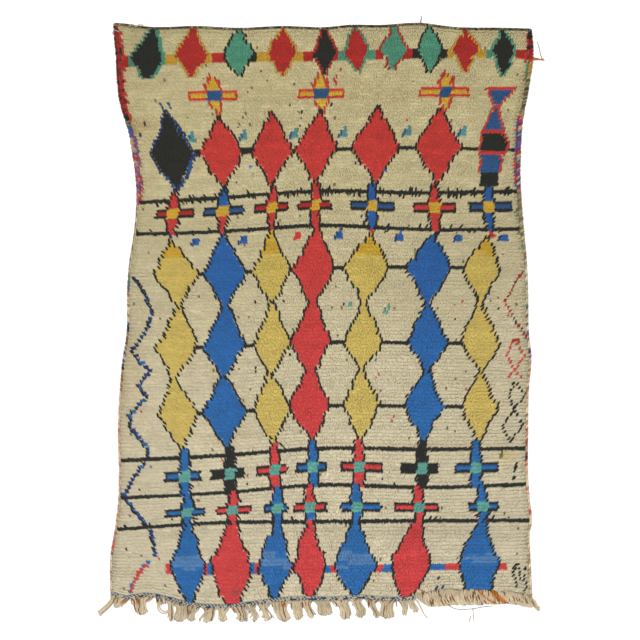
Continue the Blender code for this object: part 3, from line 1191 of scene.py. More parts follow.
@dataclass(frozen=True)
class WovenLine(Motif):
    """A row of charcoal knots across the rug, with some locks left long.

    Attributes:
        doubled: the share of knots with another above them.
        long_share: the share of locks left long.
        longest: how much longer the longest is, as a share.
        extra: how much longer all of them are.
        spiky: whether the long locks stand proud of the others.
    """

    row: int
    start: int
    stop: int
    doubled: float = 0.0
    long_share: float = 0.05
    longest: float = 0.2
    extra: float = 0.12
    spiky: bool = False

    def tie(self, chart: Chart) -> None:
        """One row throughout, with odd knots on the row above it."""
        count, here = self.stop - self.start, (self.row, slice(self.start, self.stop))
        chart.tie(self.row, self.start, self.stop, CHARCOAL)
        longer = self.extra + 0.07 * chart.rng.normal(0, 1, count)
        left_long = chart.rng.random(count) < self.long_share
        longer[left_long] += chart.rng.uniform(0.1, self.longest, left_long.sum())
        chart.extra[here] = longer
        if self.spiky:
            chart.thin[here] = left_long
        for knot in self.start + np.flatnonzero(chart.rng.random(count) < self.doubled):
            chart.dash(self.row + 1, knot, CHARCOAL, chart.stray(0.2))


@dataclass(frozen=True)
class Zigzag(Motif):
    """A wandering line through (knot, row) points, with ticks of another yarn at its left.

    Attributes:
        ticks: the yarns of the dashes beside it, if any.
        half: half the line's width in knots, or 0 for a line of thin dashes.
        gap: the share of rows that are missed.
        growth: how much longer, or shorter, thin dashes are, as a share.
    """

    points: Sequence[tuple[float, float]]
    yarns: Sequence[Yarn]
    ticks: Sequence[Yarn] = ()
    half: float = 0.0
    gap: float = 0.03
    growth: float = 0.0

    def tie(self, chart: Chart) -> None:
        """On every row that a stretch crosses, the knots nearest to it are tied."""
        for (knot_a, row_a), (knot_b, row_b) in zip(self.points, self.points[1:]):
            low, high = sorted((row_a, row_b))
            steep = abs(knot_b - knot_a) / max(high - low, 1)
            reach = max(self.half, steep / 2)
            for row in np.arange(np.floor(low), max(np.floor(high), np.floor(low) + 1)):
                if chart.rng.random() < self.gap:
                    continue
                share = (row + 0.5 - row_a) / (row_b - row_a)
                knot = knot_a + (knot_b - knot_a) * np.clip(share, 0, 1)
                yarn = chart.pick(self.yarns)
                first = round(knot - reach)
                if self.half:
                    chart.tie(row, first, max(round(knot + reach), first + 1), yarn, chart.stray(0.15))
                else:
                    wide = max(1, round(steep))
                    for step in range(wide):
                        chart.dash(row, knot + step - wide / 2 + 0.5, yarn, self.growth + chart.stray(0.12))
                if self.ticks:
                    chart.dash(row, first - 1, chart.pick(self.ticks), chart.stray(0.12))


@dataclass(frozen=True)
class Sprig(Motif):
    """A little tuft of bright yarn, wide below and open above, with a darker knot or two at its left."""

    knot: float
    row: int
    yarn: Yarn
    shade: Yarn | None = None
    half: float = 2.2
    rows: int = 3
    taper: float = 0.28

    def tie(self, chart: Chart) -> None:
        """Its rows narrow upwards."""
        for step in range(self.rows):
            half = self.half * (1 - self.taper * step)
            middle = self.knot + 0.5 * step
            chart.tie(self.row + step, middle - half, middle + half, self.yarn, chart.stray(0.2))
            if self.shade is not None and step < 2:
                chart.dash(self.row + step, middle - half - 0.6, self.shade)


def mark(yarn: Yarn, *points: tuple[float, float], growth: float = 0.0) -> Zigzag:
    """A short unbroken line of dashes in one yarn."""
    return Zigzag(points, [yarn], gap=0.0, growth=growth)


def blocks(*stretches: tuple[float, float, Yarn]) -> list[Stretch]:
    """The blocks of a band."""
    return [Stretch(*stretch) for stretch in stretches]


def head_row() -> list[Motif]:
    """The head row: ten lozenges on a band of short coloured blocks.

    Returns:
        The motifs in the order that they are tied.
    """
    band = blocks(
        (0, 5, MADDER), (4, 8, TEAL), (20, 24, TEAL), (23, 29, MUSTARD), (43, 48, MUSTARD), (47, 54, MADDER),
        (66, 71, CHARCOAL), (70, 77, MUSTARD), (89, 94, MUSTARD), (94, 99, MADDER), (108, 113, MADDER),
        (112, 116, TEAL), (126, 131, TEAL), (131, 135, MADDER), (145, 150, MADDER), (150, 154, CHARCOAL),
        (164, 168, CHARCOAL), (168, 171, MUSTARD), (183, 188, MUSTARD), (188, 191, TEAL), (203, 210, MADDER),
    )
    lozenges = (
        # top, left, right, foot, foot row, fill, outline, foot_half, right_rim
        (17.5, 4.4, 22.2, 13.6, 146.0, CHARCOAL, TEAL, 2.0, 2),
        (38.0, 27.5, 45.5, 36.5, 146.2, MADDER, MUSTARD, 0.5, 1),
        (62.0, 52.5, 69.0, 60.5, 146.0, TEAL, CHARCOAL, 0.5, 1),
        (84.5, 75.0, 91.5, 83.0, 146.2, MADDER, MUSTARD, 0.5, 1),
        (106.0, 98.4, 112.0, 104.5, 146.6, CHARCOAL, MADDER, 0.5, 1),
        (122.0, 114.0, 128.5, 121.5, 147.0, MADDER, TEAL, 0.5, 1),
        (141.5, 133.0, 148.0, 140.5, 147.4, TEAL, MADDER, 0.5, 1),
        (160.0, 152.0, 166.5, 159.5, 146.8, TEAL, CHARCOAL, 0.5, 1),
        (178.5, 170.0, 185.0, 177.5, 146.8, MADDER, MUSTARD, 0.5, 1),
        (198.0, 190.4, 203.5, 197.5, 145.4, CHARCOAL, TEAL, 0.5, 1),
    )
    return [Band(150, 152, band)] + [
        Lozenge((top, 160.0), 152.8, left, right, (foot, foot_row), *yarns, 0.7, half, 0.4, right_rim=rim)
        for top, left, right, foot, foot_row, *yarns, half, rim in lozenges
    ]


def flame_crosses() -> list[Motif]:
    """Three crosses in gold with a blue heart, edged with red dashes like flames.

    Returns:
        The motifs in the order that they are tied.
    """
    motifs = []
    places = ((47.6, 34.0, 60.0, 4.0), (103.7, 91.7, 116.0, 3.8), (169.1, 155.5, 181.8, 2.7))
    for knot, left, right, heart_half in places:
        motifs += [
            Cross(knot, 140, left, right, 135, 146, GOLD, RED, GOLD, GOLD, DEEP_BLUE, RED, (0.4, 3.4, 0.3),
                  heart_half, lean=-2.0, growths=(-0.45, 0.42, -0.55), under_growth=0.5),
            mark(RED, (knot - 6.0, 144.6), (knot - 3.4, 142.0)),
            mark(RED, (knot + 2.6, 145.6), (knot + 3.8, 142.0)),
            mark(RED, (knot - 1.6, 147.2), (knot - 2.0, 145.2)),
        ]
    return motifs


def great_lozenges() -> list[Motif]:
    """The row of large lozenges: the first in charcoal, five in red, joined by a thin dark line.

    Returns:
        The motifs in the order that they are tied.
    """
    dark = [DEEP_BLUE, NAVY, NAVY]
    motifs = [
        Band(124, 125, blocks((32, 36, CHARCOAL), (57, 65, CHARCOAL)), extra=-0.1),
        Band(124, 124, blocks((85, 90, CHARCOAL), (109, 120, CHARCOAL)), extra=0.1),
        Band(124, 124, blocks((144, 155, CHARCOAL), (178, 191, CHARCOAL), (204, 209, CHARCOAL))),
        Lozenge((21.0, 136.6), 124.5, 6.2, 32.6, (19.8, 115.8), CHARCOAL, NAVY, 0.2, 0.4, wobble=0.35),
        Zigzag([(31.4, 125.0), (26.2, 118.6), (20.8, 115.5)], dark, half=1.1, gap=0.0),
        Zigzag([(12.6, 120.6), (16.6, 117.2), (19.6, 115.4)], dark, half=0.6, gap=0.1),
        Zigzag([(23.0, 133.0), (27.4, 128.6), (31.2, 125.5)], dark[:2], gap=0.15, growth=-0.3),
    ]
    for top, top_row, left, right, foot in (
        (48.2, 134.6, 33.6, 59.2, 46.2),
        (77.0, 135.3, 62.4, 87.0, 72.8),
        (103.0, 135.4, 86.6, 111.2, 97.4),
        (134.2, 136.1, 118.2, 146.2, 131.7),
        (167.2, 135.4, 153.0, 179.8, 165.8),
    ):
        motifs += [
            Lozenge((top, top_row), 124.9, left, right, (foot, 115.4), RED, CHARCOAL, 0.3, 0.3),
            mark(CHARCOAL, (top, top_row + 0.2), (top - 0.2, top_row + 1.2)),
        ]
    motifs += [Sprig(knot, 128, TURQUOISE, DEEP_BLUE) for knot in (31.4, 60.3, 87.8, 115.2, 150.2, 180.3)]
    return motifs + [
        Sprig(62.0, 120, FADED_BLUE, half=1.3, rows=1),
        Sprig(137.0, 118, BLUE, half=1.0, rows=1),
        Zigzag([(17.4, 139.6), (19.8, 137.4)], [NAVY, DEEP_BLUE], gap=0.0, growth=-0.2),
        mark(DEEP_BLUE, (25.2, 139.4), (22.4, 138.0), (23.6, 137.0), growth=-0.3),
        mark(NAVY, (3.0, 131.8), (3.6, 130.6)),
        mark(NAVY, (7.2, 134.4), (8.0, 133.2)),
        mark(RED, (111.4, 146.2), (110.8, 144.8), (111.6, 143.2)),
        mark(CHARCOAL, (108.2, 138.6), (110.4, 137.0)),
    ]


class Block(NamedTuple):
    """A part of the tall figure: its rows from the top down, and its two sides at the top and the foot."""

    top_row: int
    foot_row: int
    left: tuple[float, float]
    right: tuple[float, float]
    yarn: Yarn


class Amulet(Motif):
    """The tall figure by the right edge: triangles and blocks in blue and charcoal, edged in red."""

    blocks = (
        Block(141, 141, (190.5, 190.5), (204.5, 204.5), RED),
        Block(140, 137, (191.5, 195.1), (203.5, 198.9), DEEP_BLUE),
        Block(136, 136, (195.8, 195.8), (197.8, 197.8), RED),
        Block(135, 130, (195.7, 191.8), (198.0, 201.8), DEEP_BLUE),
        Block(129, 129, (191.2, 191.2), (202.0, 202.0), RED),
        Block(128, 126, (191.0, 190.6), (203.5, 205.0), CHARCOAL),
        Block(125, 124, (190.4, 190.2), (204.4, 203.6), CHARCOAL),
        Block(123, 123, (190.2, 190.2), (202.6, 202.6), RED),
        Block(122, 118, (190.4, 190.4), (201.6, 200.6), DEEP_BLUE),
        Block(117, 114, (190.2, 189.4), (200.4, 199.9), CHARCOAL),
    )
    bare_below = 118

    def tie(self, chart: Chart) -> None:
        """Every row is its block's yarn between straight sides, with red dashes beside it above the foot."""
        for top_row, foot_row, lefts, rights, yarn in self.blocks:
            for row in range(top_row, foot_row - 1, -1):
                down = (top_row - row) / max(top_row - foot_row, 1)
                left = np.interp(down, (0, 1), lefts) + chart.stray(0.3)
                right = np.interp(down, (0, 1), rights) + chart.stray(0.4)
                chart.tie(row, left, right, yarn, -0.15 if yarn == RED else 0.0)
                if row >= self.bare_below:
                    chart.dash(row, round(left) - 1, RED, chart.stray(0.2))
                    chart.dash(row, round(right), RED, chart.stray(0.2))
        chart.extra[124:129, 201:206] = chart.rng.uniform(0.0, 0.4, (5, 5))


def gold_hearts() -> list[Motif]:
    """The band of seven crosses with gold hearts, hanging between two spiky dark lines.

    Returns:
        The motifs in the order that they are tied.
    """
    motifs = [
        WovenLine(112, 0, 90, doubled=0.05, long_share=0.3, longest=0.55, spiky=True),
        WovenLine(112, 90, 166, doubled=0.12, long_share=0.42, longest=0.75, spiky=True),
        WovenLine(112, 166, 210, doubled=0.2, long_share=0.42, longest=0.9, spiky=True),
        WovenLine(102, 0, 210, doubled=0.06, long_share=0.1, longest=0.3, spiky=True),
    ]
    for knot, left, right, arm, upper, lower, halves, hanging in (
        (19.1, 9.4, 30.9, MADDER, RED, RED, (0.5, 3.1, 1.2), NAVY),
        (46.6, 35.8, 58.5, DEEP_BLUE, BLUE, RED, (0.7, 3.0, 0.9), RED),
        (73.9, 63.9, 82.8, MADDER, RED, RED, (0.5, 2.5, 1.0), NAVY),
        (98.0, 88.2, 106.5, MADDER, RED, RED, (1.9, 2.3, 1.8), RED),
        (129.3, 116.5, 142.0, DEEP_BLUE, BLUE, BLUE, (1.6, 2.6, 1.2), RED),
        (164.2, 151.5, 175.9, RED, RED, RED, (0.5, 2.9, 1.7), CHARCOAL),
        (194.1, 182.5, 206.8, DEEP_BLUE, BLUE, BLUE, (0.5, 2.8, 1.1), RED),
    ):
        motifs += [
            Cross(knot, 108, left, right, 102, 115, arm, CHARCOAL, upper, lower, GOLD, CHARCOAL, halves,
                  heart_half=halves[1] + 0.2),
            Band(100, 101, blocks((knot - 1.2, knot + 1.2, hanging))),
            mark(CHARCOAL, (knot, 116.2), (knot, 114.9)),
        ]
    for knot in (33, 59, 88, 111, 144, 176, 201):
        yarn, shade = (RED, None) if knot == 88 else (BLUE, NAVY)
        motifs.append(Sprig(knot, 99, yarn, shade, half=1.9, rows=2, taper=0.1))
        if knot in (111, 144):
            motifs.append(mark(yarn, (knot + 0.6, 101.0), (knot + 0.6, 102.0)))
    return motifs


class Column(NamedTuple):
    """A chain of three lozenges: its tips from the top down, and each one's side points, in knots."""

    tips: tuple[float, float, float, float]
    sides: tuple[tuple[float, float], tuple[float, float], tuple[float, float]]
    yarn: Yarn
    neck_half: float
    top_row: float


COLUMN_TIP_ROWS = (82.0, 62.6, 43.2)
COLUMN_SIDE_ROWS = (91.6, 70.8, 52.6)
COLUMNS = (
    Column((19.4, 26.0, 26.4, 31.4), ((12.0, 36.6), (14.8, 36.9), (19.4, 40.2)), YELLOW, 0.35, 100.2),
    Column((47.0, 50.7, 51.8, 54.7), ((38.6, 61.9), (39.5, 61.7), (42.3, 65.4)), BLUE, 0.8, 101.2),
    Column((73.7, 75.6, 76.0, 79.1), ((64.6, 85.3), (65.7, 85.8), (68.5, 88.2)), YELLOW, 0.35, 101.2),
    Column((99.0, 97.3, 96.8, 99.8), ((85.9, 108.7), (85.0, 106.8), (86.4, 108.3)), RED, 1.5, 101.8),
    Column((128, 124.3, 123.1, 124.7), ((113.1, 138.6), (113.3, 134.6), (114.9, 134.8)), YELLOW, 0.35, 100.6),
    Column((161.9, 158.2, 157.4, 156.9), ((146.7, 171.2), (146.9, 168.9), (146.5, 167.8)), BLUE, 0.8, 101),
    Column((191.2, 185.8, 185.6, 185.9), ((176.6, 197.3), (174.7, 196), (176.5, 195.9)), YELLOW, 0.4, 100.2),
)
GOLD_FROM = 95.5


def columns() -> list[Motif]:
    """The middle field: seven chains of three lozenges, tied to one another by short dark lines.

    Returns:
        The motifs in the order that they are tied.
    """
    motifs = []
    for level, row in enumerate(COLUMN_SIDE_ROWS):
        sides = [column.sides[level] for column in COLUMNS]
        joins = [Stretch(a[1] - 2, b[0] + 2, CHARCOAL) for a, b in zip(sides, sides[1:])]
        motifs.append(Band(int(row), int(row), joins, extra=0.1))
    for tips, sides, yarn, neck_half, top_row in COLUMNS:
        points = list(zip(tips, (top_row, *COLUMN_TIP_ROWS)))
        halves = (0.6, neck_half, neck_half, 0.5)
        for level, side in enumerate(sides):
            gold = GOLD if yarn == YELLOW and level == 0 else None
            motifs.append(
                Lozenge(points[level], COLUMN_SIDE_ROWS[level], *side, points[level + 1], yarn, CHARCOAL,
                        *halves[level : level + 2], shoulder=0.4, upper_fill=gold, upper_from=GOLD_FROM)
            )
    return motifs


def teal_hearts() -> list[Motif]:
    """Two bands of seven crosses with teal hearts, between three dark lines.

    Returns:
        The motifs in the order that they are tied.
    """
    motifs = [WovenLine(40, 0, 210, extra=0.22), WovenLine(30, 0, 210, extra=0.22)]
    motifs.append(WovenLine(20, 0, 210, doubled=0.05, extra=0.2))
    upper = (
        (33.1, 22.2, 41.4, BLUE, BLUE), (56.5, 46.6, 64.3, CHARCOAL, CHARCOAL), (79.9, 70.0, 86.6, RED, RED),
        (99.7, 90.8, 106.9, BLUE, BLUE), (123.6, 113.7, 136.1, RED, RED),
        (156.3, 144.9, 165.2, CHARCOAL, CHARCOAL), (184.4, 173.5, 195.8, BLUE, BLUE),
    )
    lower = (
        (34.6, 23.3, 43.8, BLUE, BLUE), (58.1, 49.4, 67.9, RED, RED), (81.0, 74.0, 86.4, BLUE, BLUE),
        (97.8, 89.5, 106.5, RED, BLUE), (121.9, 113.7, 134.3, BLUE, BLUE), (153.9, 141.0, 164.2, RED, RED),
        (186.8, 179.1, 194.5, BLUE, BLUE),
    )
    for row, foot, top, foot_half, crosses in ((35, 30, 43, 2.0, upper), (24, 20, 31, 1.3, lower)):
        motifs += [
            Cross(knot, row, left, right, foot, top, yarn, CHARCOAL, yarn, below, TEAL, CHARCOAL,
                  halves=(1.1, 2.4, foot_half), heart_half=2.7)
            for knot, left, right, yarn, below in crosses
        ]
    return motifs


def foot_lozenges() -> list[Motif]:
    """The foot row: seven tall lozenges that run off the weave, on a thin band of red and blue.

    Returns:
        The motifs in the order that they are tied.
    """
    band = blocks(
        (27, 31, RED), (45, 48, RED), (48, 51, BLUE), (69, 72, BLUE), (72, 75, RED), (88, 90.5, RED),
        (90.5, 93, BLUE), (106.5, 110, BLUE), (110, 113.5, RED), (131.5, 136.5, RED), (136.5, 142, BLUE),
        (159, 168, BLUE), (168, 177, RED), (194, 199, RED),
    )
    lozenges = (
        (35.6, 21.0, 29.3, 47.0, 38.0, 1.3, BLUE),
        (58.2, 21.0, 49.6, 70.3, 60.2, 3.4, RED),
        (81.8, 20.8, 73.4, 90.6, 81.3, 0.8, BLUE),
        (97.6, 20.8, 91.4, 108.2, 99.4, 1.4, RED),
        (121.4, 20.8, 112.1, 133.4, 121.6, 1.4, BLUE),
        (153.1, 20.8, 140.4, 161.2, 147.8, 2.2, RED),
        (185.8, 20.8, 175.2, 195.5, 183.6, 5.6, BLUE),
    )
    return [Band(7, 9 if stretch.stop < 95 else 8, [stretch], extra=-0.05) for stretch in band] + [
        Lozenge((top, top_row), 9.0, left, right, (foot, 0.0), yarn, CHARCOAL, 1.0, foot_half, 0.9,
                upper_fill=FADED_BLUE if yarn == BLUE else None, upper_from=8.9, upper_to=11.8, blend=1.8)
        for top, top_row, left, right, foot, foot_half, yarn in lozenges
    ]


def border_lines() -> list[Motif]:
    """The thin wandering lines by the two edges, and the small marks round them.

    Returns:
        The motifs in the order that they are tied.
    """
    left = (
        (0.8, 91.8), (6, 88), (13, 80.1), (9.5, 75.5), (3.4, 69.9), (8.5, 67), (14.2, 64.3), (9, 60.6),
        (13.6, 57.6), (5.3, 52.7), (5.5, 49.6), (10, 46.5), (14.7, 43.3), (14, 40.7), (6, 35), (1.6, 31.1),
        (8.5, 26), (17.5, 19.3), (20.5, 15.5), (21.8, 12.2),
    )
    tail = ((19.4, 11.3), (13.9, 7.4), (9.3, 1.3))
    right = ((209.0, 91.2), (203.5, 86.5), (198.5, 82.1), (204.0, 77.0), (209.2, 72.9), (203.7, 71.5))
    motifs = [
        Zigzag(left[:3], [CHARCOAL, NAVY, CHARCOAL], [NAVY, CHARCOAL], half=0.6, gap=0.0),
        Zigzag(left[2:], [BLUE, DEEP_BLUE, NAVY], [CHARCOAL, CHARCOAL, NAVY], half=0.6, gap=0.0),
        Zigzag(tail, [RED, BLUE, RED], [RED, BLUE], half=0.5, gap=0.0),
        Zigzag(right, [MADDER, CHARCOAL, MADDER], half=0.5, gap=0.05),
    ]
    for yarn, growth, line in (
        (RED, -0.3, ((203.0, 71.5), (198.2, 67.4), (202.6, 63.8), (200.2, 61.6))),
        (RED, -0.3, ((203.6, 71.5), (207.2, 67.4), (203.4, 63.8), (206.0, 61.6))),
        (CHARCOAL, -0.2, ((204.8, 60.4), (201.0, 56.2), (203.9, 52.1), (198.3, 47.3), (202.0, 42.7))),
        (CHARCOAL, -0.2, ((204.8, 60.4), (209.4, 56.2), (203.9, 52.1), (208.2, 47.3), (202.6, 42.7))),
    ):
        motifs.append(Zigzag(line, [yarn], growth=growth))
    motifs.append(Zigzag([(206.7, 38.4), (205.2, 35.0), (203.9, 31.8)], [CHARCOAL], [CHARCOAL], gap=0.3))
    for gap, growth, line in (
        (0.1, -0.35, ((206.0, 9.8), (202.6, 7.8), (202.8, 5.2), (203.6, 2.6))),
        (0.35, -0.4, ((205.6, 9.6), (205.4, 7.0), (205.8, 4.0))),
        (0.1, -0.35, ((207.0, 8.6), (209.2, 7.0), (206.8, 5.0), (209.0, 3.2), (207.4, 0.8))),
    ):
        motifs.append(Zigzag(line, [CHARCOAL], gap=gap, growth=growth))
    return motifs + [
        mark(OLIVE, (196.6, 40.4), (197.4, 38.6)),
        mark(TEAL, (116.6, 81.4), (119.4, 82.6)),
        mark(TEAL, (137.0, 82.4), (137.8, 80.6), (136.0, 79.4)),
        mark(NAVY, (164.8, 5.0), (164.8, 4.0)),
        mark(NAVY, (163.4, 2.0), (163.4, 1.0)),
        mark(NAVY, (166.4, 2.0), (166.4, 1.0)),
    ]


@dataclass(frozen=True)
class Specks(Motif):
    """Odd single knots in the cream: ends of other yarns that the weaver used up."""

    count: int = 250
    yarns: tuple[Yarn, ...] = (OLIVE,) * 11 + (BROWN,) * 5 + (CHARCOAL, CHARCOAL, RED, NAVY)
    clusters: tuple[tuple[float, float, Yarn], ...] = (
        (65.5, 34.5, RED), (51, 40, RED), (46, 62.5, BROWN), (68, 64.5, CHARCOAL), (63, 135, OLIVE),
        (58, 131.5, OLIVE), (92, 134, OLIVE), (96, 131, BROWN), (66, 142, OLIVE), (152, 97.5, OLIVE),
        (128, 105, OLIVE), (148, 103.5, OLIVE), (43, 144, OLIVE), (74, 103, CHARCOAL), (131.3, 60.9, RED),
        (178, 56.5, RED),
    )

    def tie(self, chart: Chart) -> None:
        """Single short knots strewn over the cream, some of them in little groups."""
        rows, knots = chart.yarn.shape
        groups = np.array([(row, knot) for knot, row, _ in self.clusters])
        near = np.repeat(groups, 2, axis=0) + chart.rng.normal(0, 1.1, (2 * len(groups), 2))
        strewn = chart.rng.uniform((2, 2), (rows - 2, knots - 2), (self.count, 2))
        picks = [yarn for _, _, yarn in self.clusters for _ in range(2)]
        picks += [self.yarns[k] for k in chart.rng.integers(len(self.yarns), size=self.count)]
        for (row, knot), yarn in zip(np.concatenate([near, strewn]), picks):
            if chart.yarn[int(row), int(knot)] == CREAM:
                chart.dash(row, knot, yarn, chart.rng.uniform(-0.66, -0.38))


@dataclass(frozen=True)
class Edging(Motif):
    """Coloured knots beside the selvedges, where the overcasting yarn was tied in too.

    Attributes:
        stretches: (first row, row after the last, column, yarns); a column below 0 counts from the right.
    """

    stretches: tuple[tuple[int, int, int, tuple[Yarn, ...]], ...] = (
        (134, 159, 0, (RED, RED, RED, CHARCOAL)),
        (134, 159, 1, (RED, CREAM, CREAM)),
        (113, 130, 0, (RED, VIOLET, BLUE, RED, CREAM)),
        (152, 159, -1, (RED, CHARCOAL, RED)),
        (149, 152, -2, (RED,)),
        (144, 149, -1, (OLIVE, TEAL, RED, CREAM)),
        (114, 134, -1, (RED, BLUE, VIOLET, RED)),
        (97, 112, -1, (OLIVE, CREAM, CREAM, TEAL)),
    )

    def tie(self, chart: Chart) -> None:
        """Dashes on the first and the last knots of some rows, in the yarns of the overcasting there."""
        for first, last, column, yarns in self.stretches:
            for row in range(first, last):
                yarn = chart.pick(yarns)
                if yarn != CREAM:
                    chart.dash(row, column % chart.yarn.shape[1], yarn, chart.stray(0.3))


def ties(loom: Loom) -> Chart:
    """The whole rug's chart, tied motif by motif.

    Args:
        loom: the loom.

    Returns:
        The chart.
    """
    chart = Chart(loom.rows, loom.knots, seed=41)
    motifs = [*border_lines(), *head_row(), *flame_crosses(), *great_lozenges(), Amulet(), *gold_hearts()]
    motifs += [*columns(), *teal_hearts(), *foot_lozenges(), Specks(), Edging()]
    for motif in motifs:
        motif.tie(chart)
    return chart


# ---------------------------------------------------------------------------------------------------------
# The pile and the weave under it


def spun(
    paths: np.ndarray, radii: np.ndarray, yarns: Sequence[Yarn], lot: float, tone: np.ndarray, **shape: object
) -> Surface:
    """Strands of plain yarn.

    Args:
        paths: (m, n, 3) points.
        radii: (m, n) radii.
        yarns: each strand's yarn.
        lot: 0 for the head colours and 1 for the foot colours, or between them.
        tone: each strand's tone.
        **shape: what else the tubes are told.

    Returns:
        The surface.
    """
    dye = lot_colours(np.array(yarns), lot)[:, None]
    return tubes(paths, radii, values={"tone": tone, "dye": dye}, **shape)


def dress(surface: Surface, name: str, slot: Slot, node: str | None, *materials: Material) -> Object:
    """Makes a piece that rides on the rug's body, and reports it.

    Args:
        surface: its surface.
        name: its name.
        slot: not used.
        node: the CAD node that it stands for, if any.
        *materials: its finishes.

    Returns:
        The piece.
    """
    piece = surface.piece(name, *materials)
    if node is not None:
        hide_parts(node)
    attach(piece, BODY)
    LOG.info("%s: %d triangles", name, surface.triangles)
    return piece


class PilePart(NamedTuple):
    """One piece of the pile: its name, its yarns and the rows it covers."""

    name: str
    yarns: tuple[Yarn, ...]
    first_row: int = 0
    last_row: int = 160


PILE_PARTS = (
    PilePart("cream_pile_foot", (CREAM,), 0, 50),
    PilePart("cream_pile_middle", (CREAM,), 50, 105),
    PilePart("cream_pile_head", (CREAM,), 105, 160),
    PilePart("red_pile", (RED, MADDER, RUST)),
    PilePart("blue_pile", (BLUE, DEEP_BLUE, FADED_BLUE)),
    PilePart("yellow_pile", (YELLOW, GOLD, MUSTARD)),
    PilePart("teal_pile", (TEAL, TURQUOISE)),
    PilePart("charcoal_pile", (CHARCOAL, NAVY)),
    PilePart("odd_yarn_pile", (OLIVE, VIOLET, BROWN)),
)


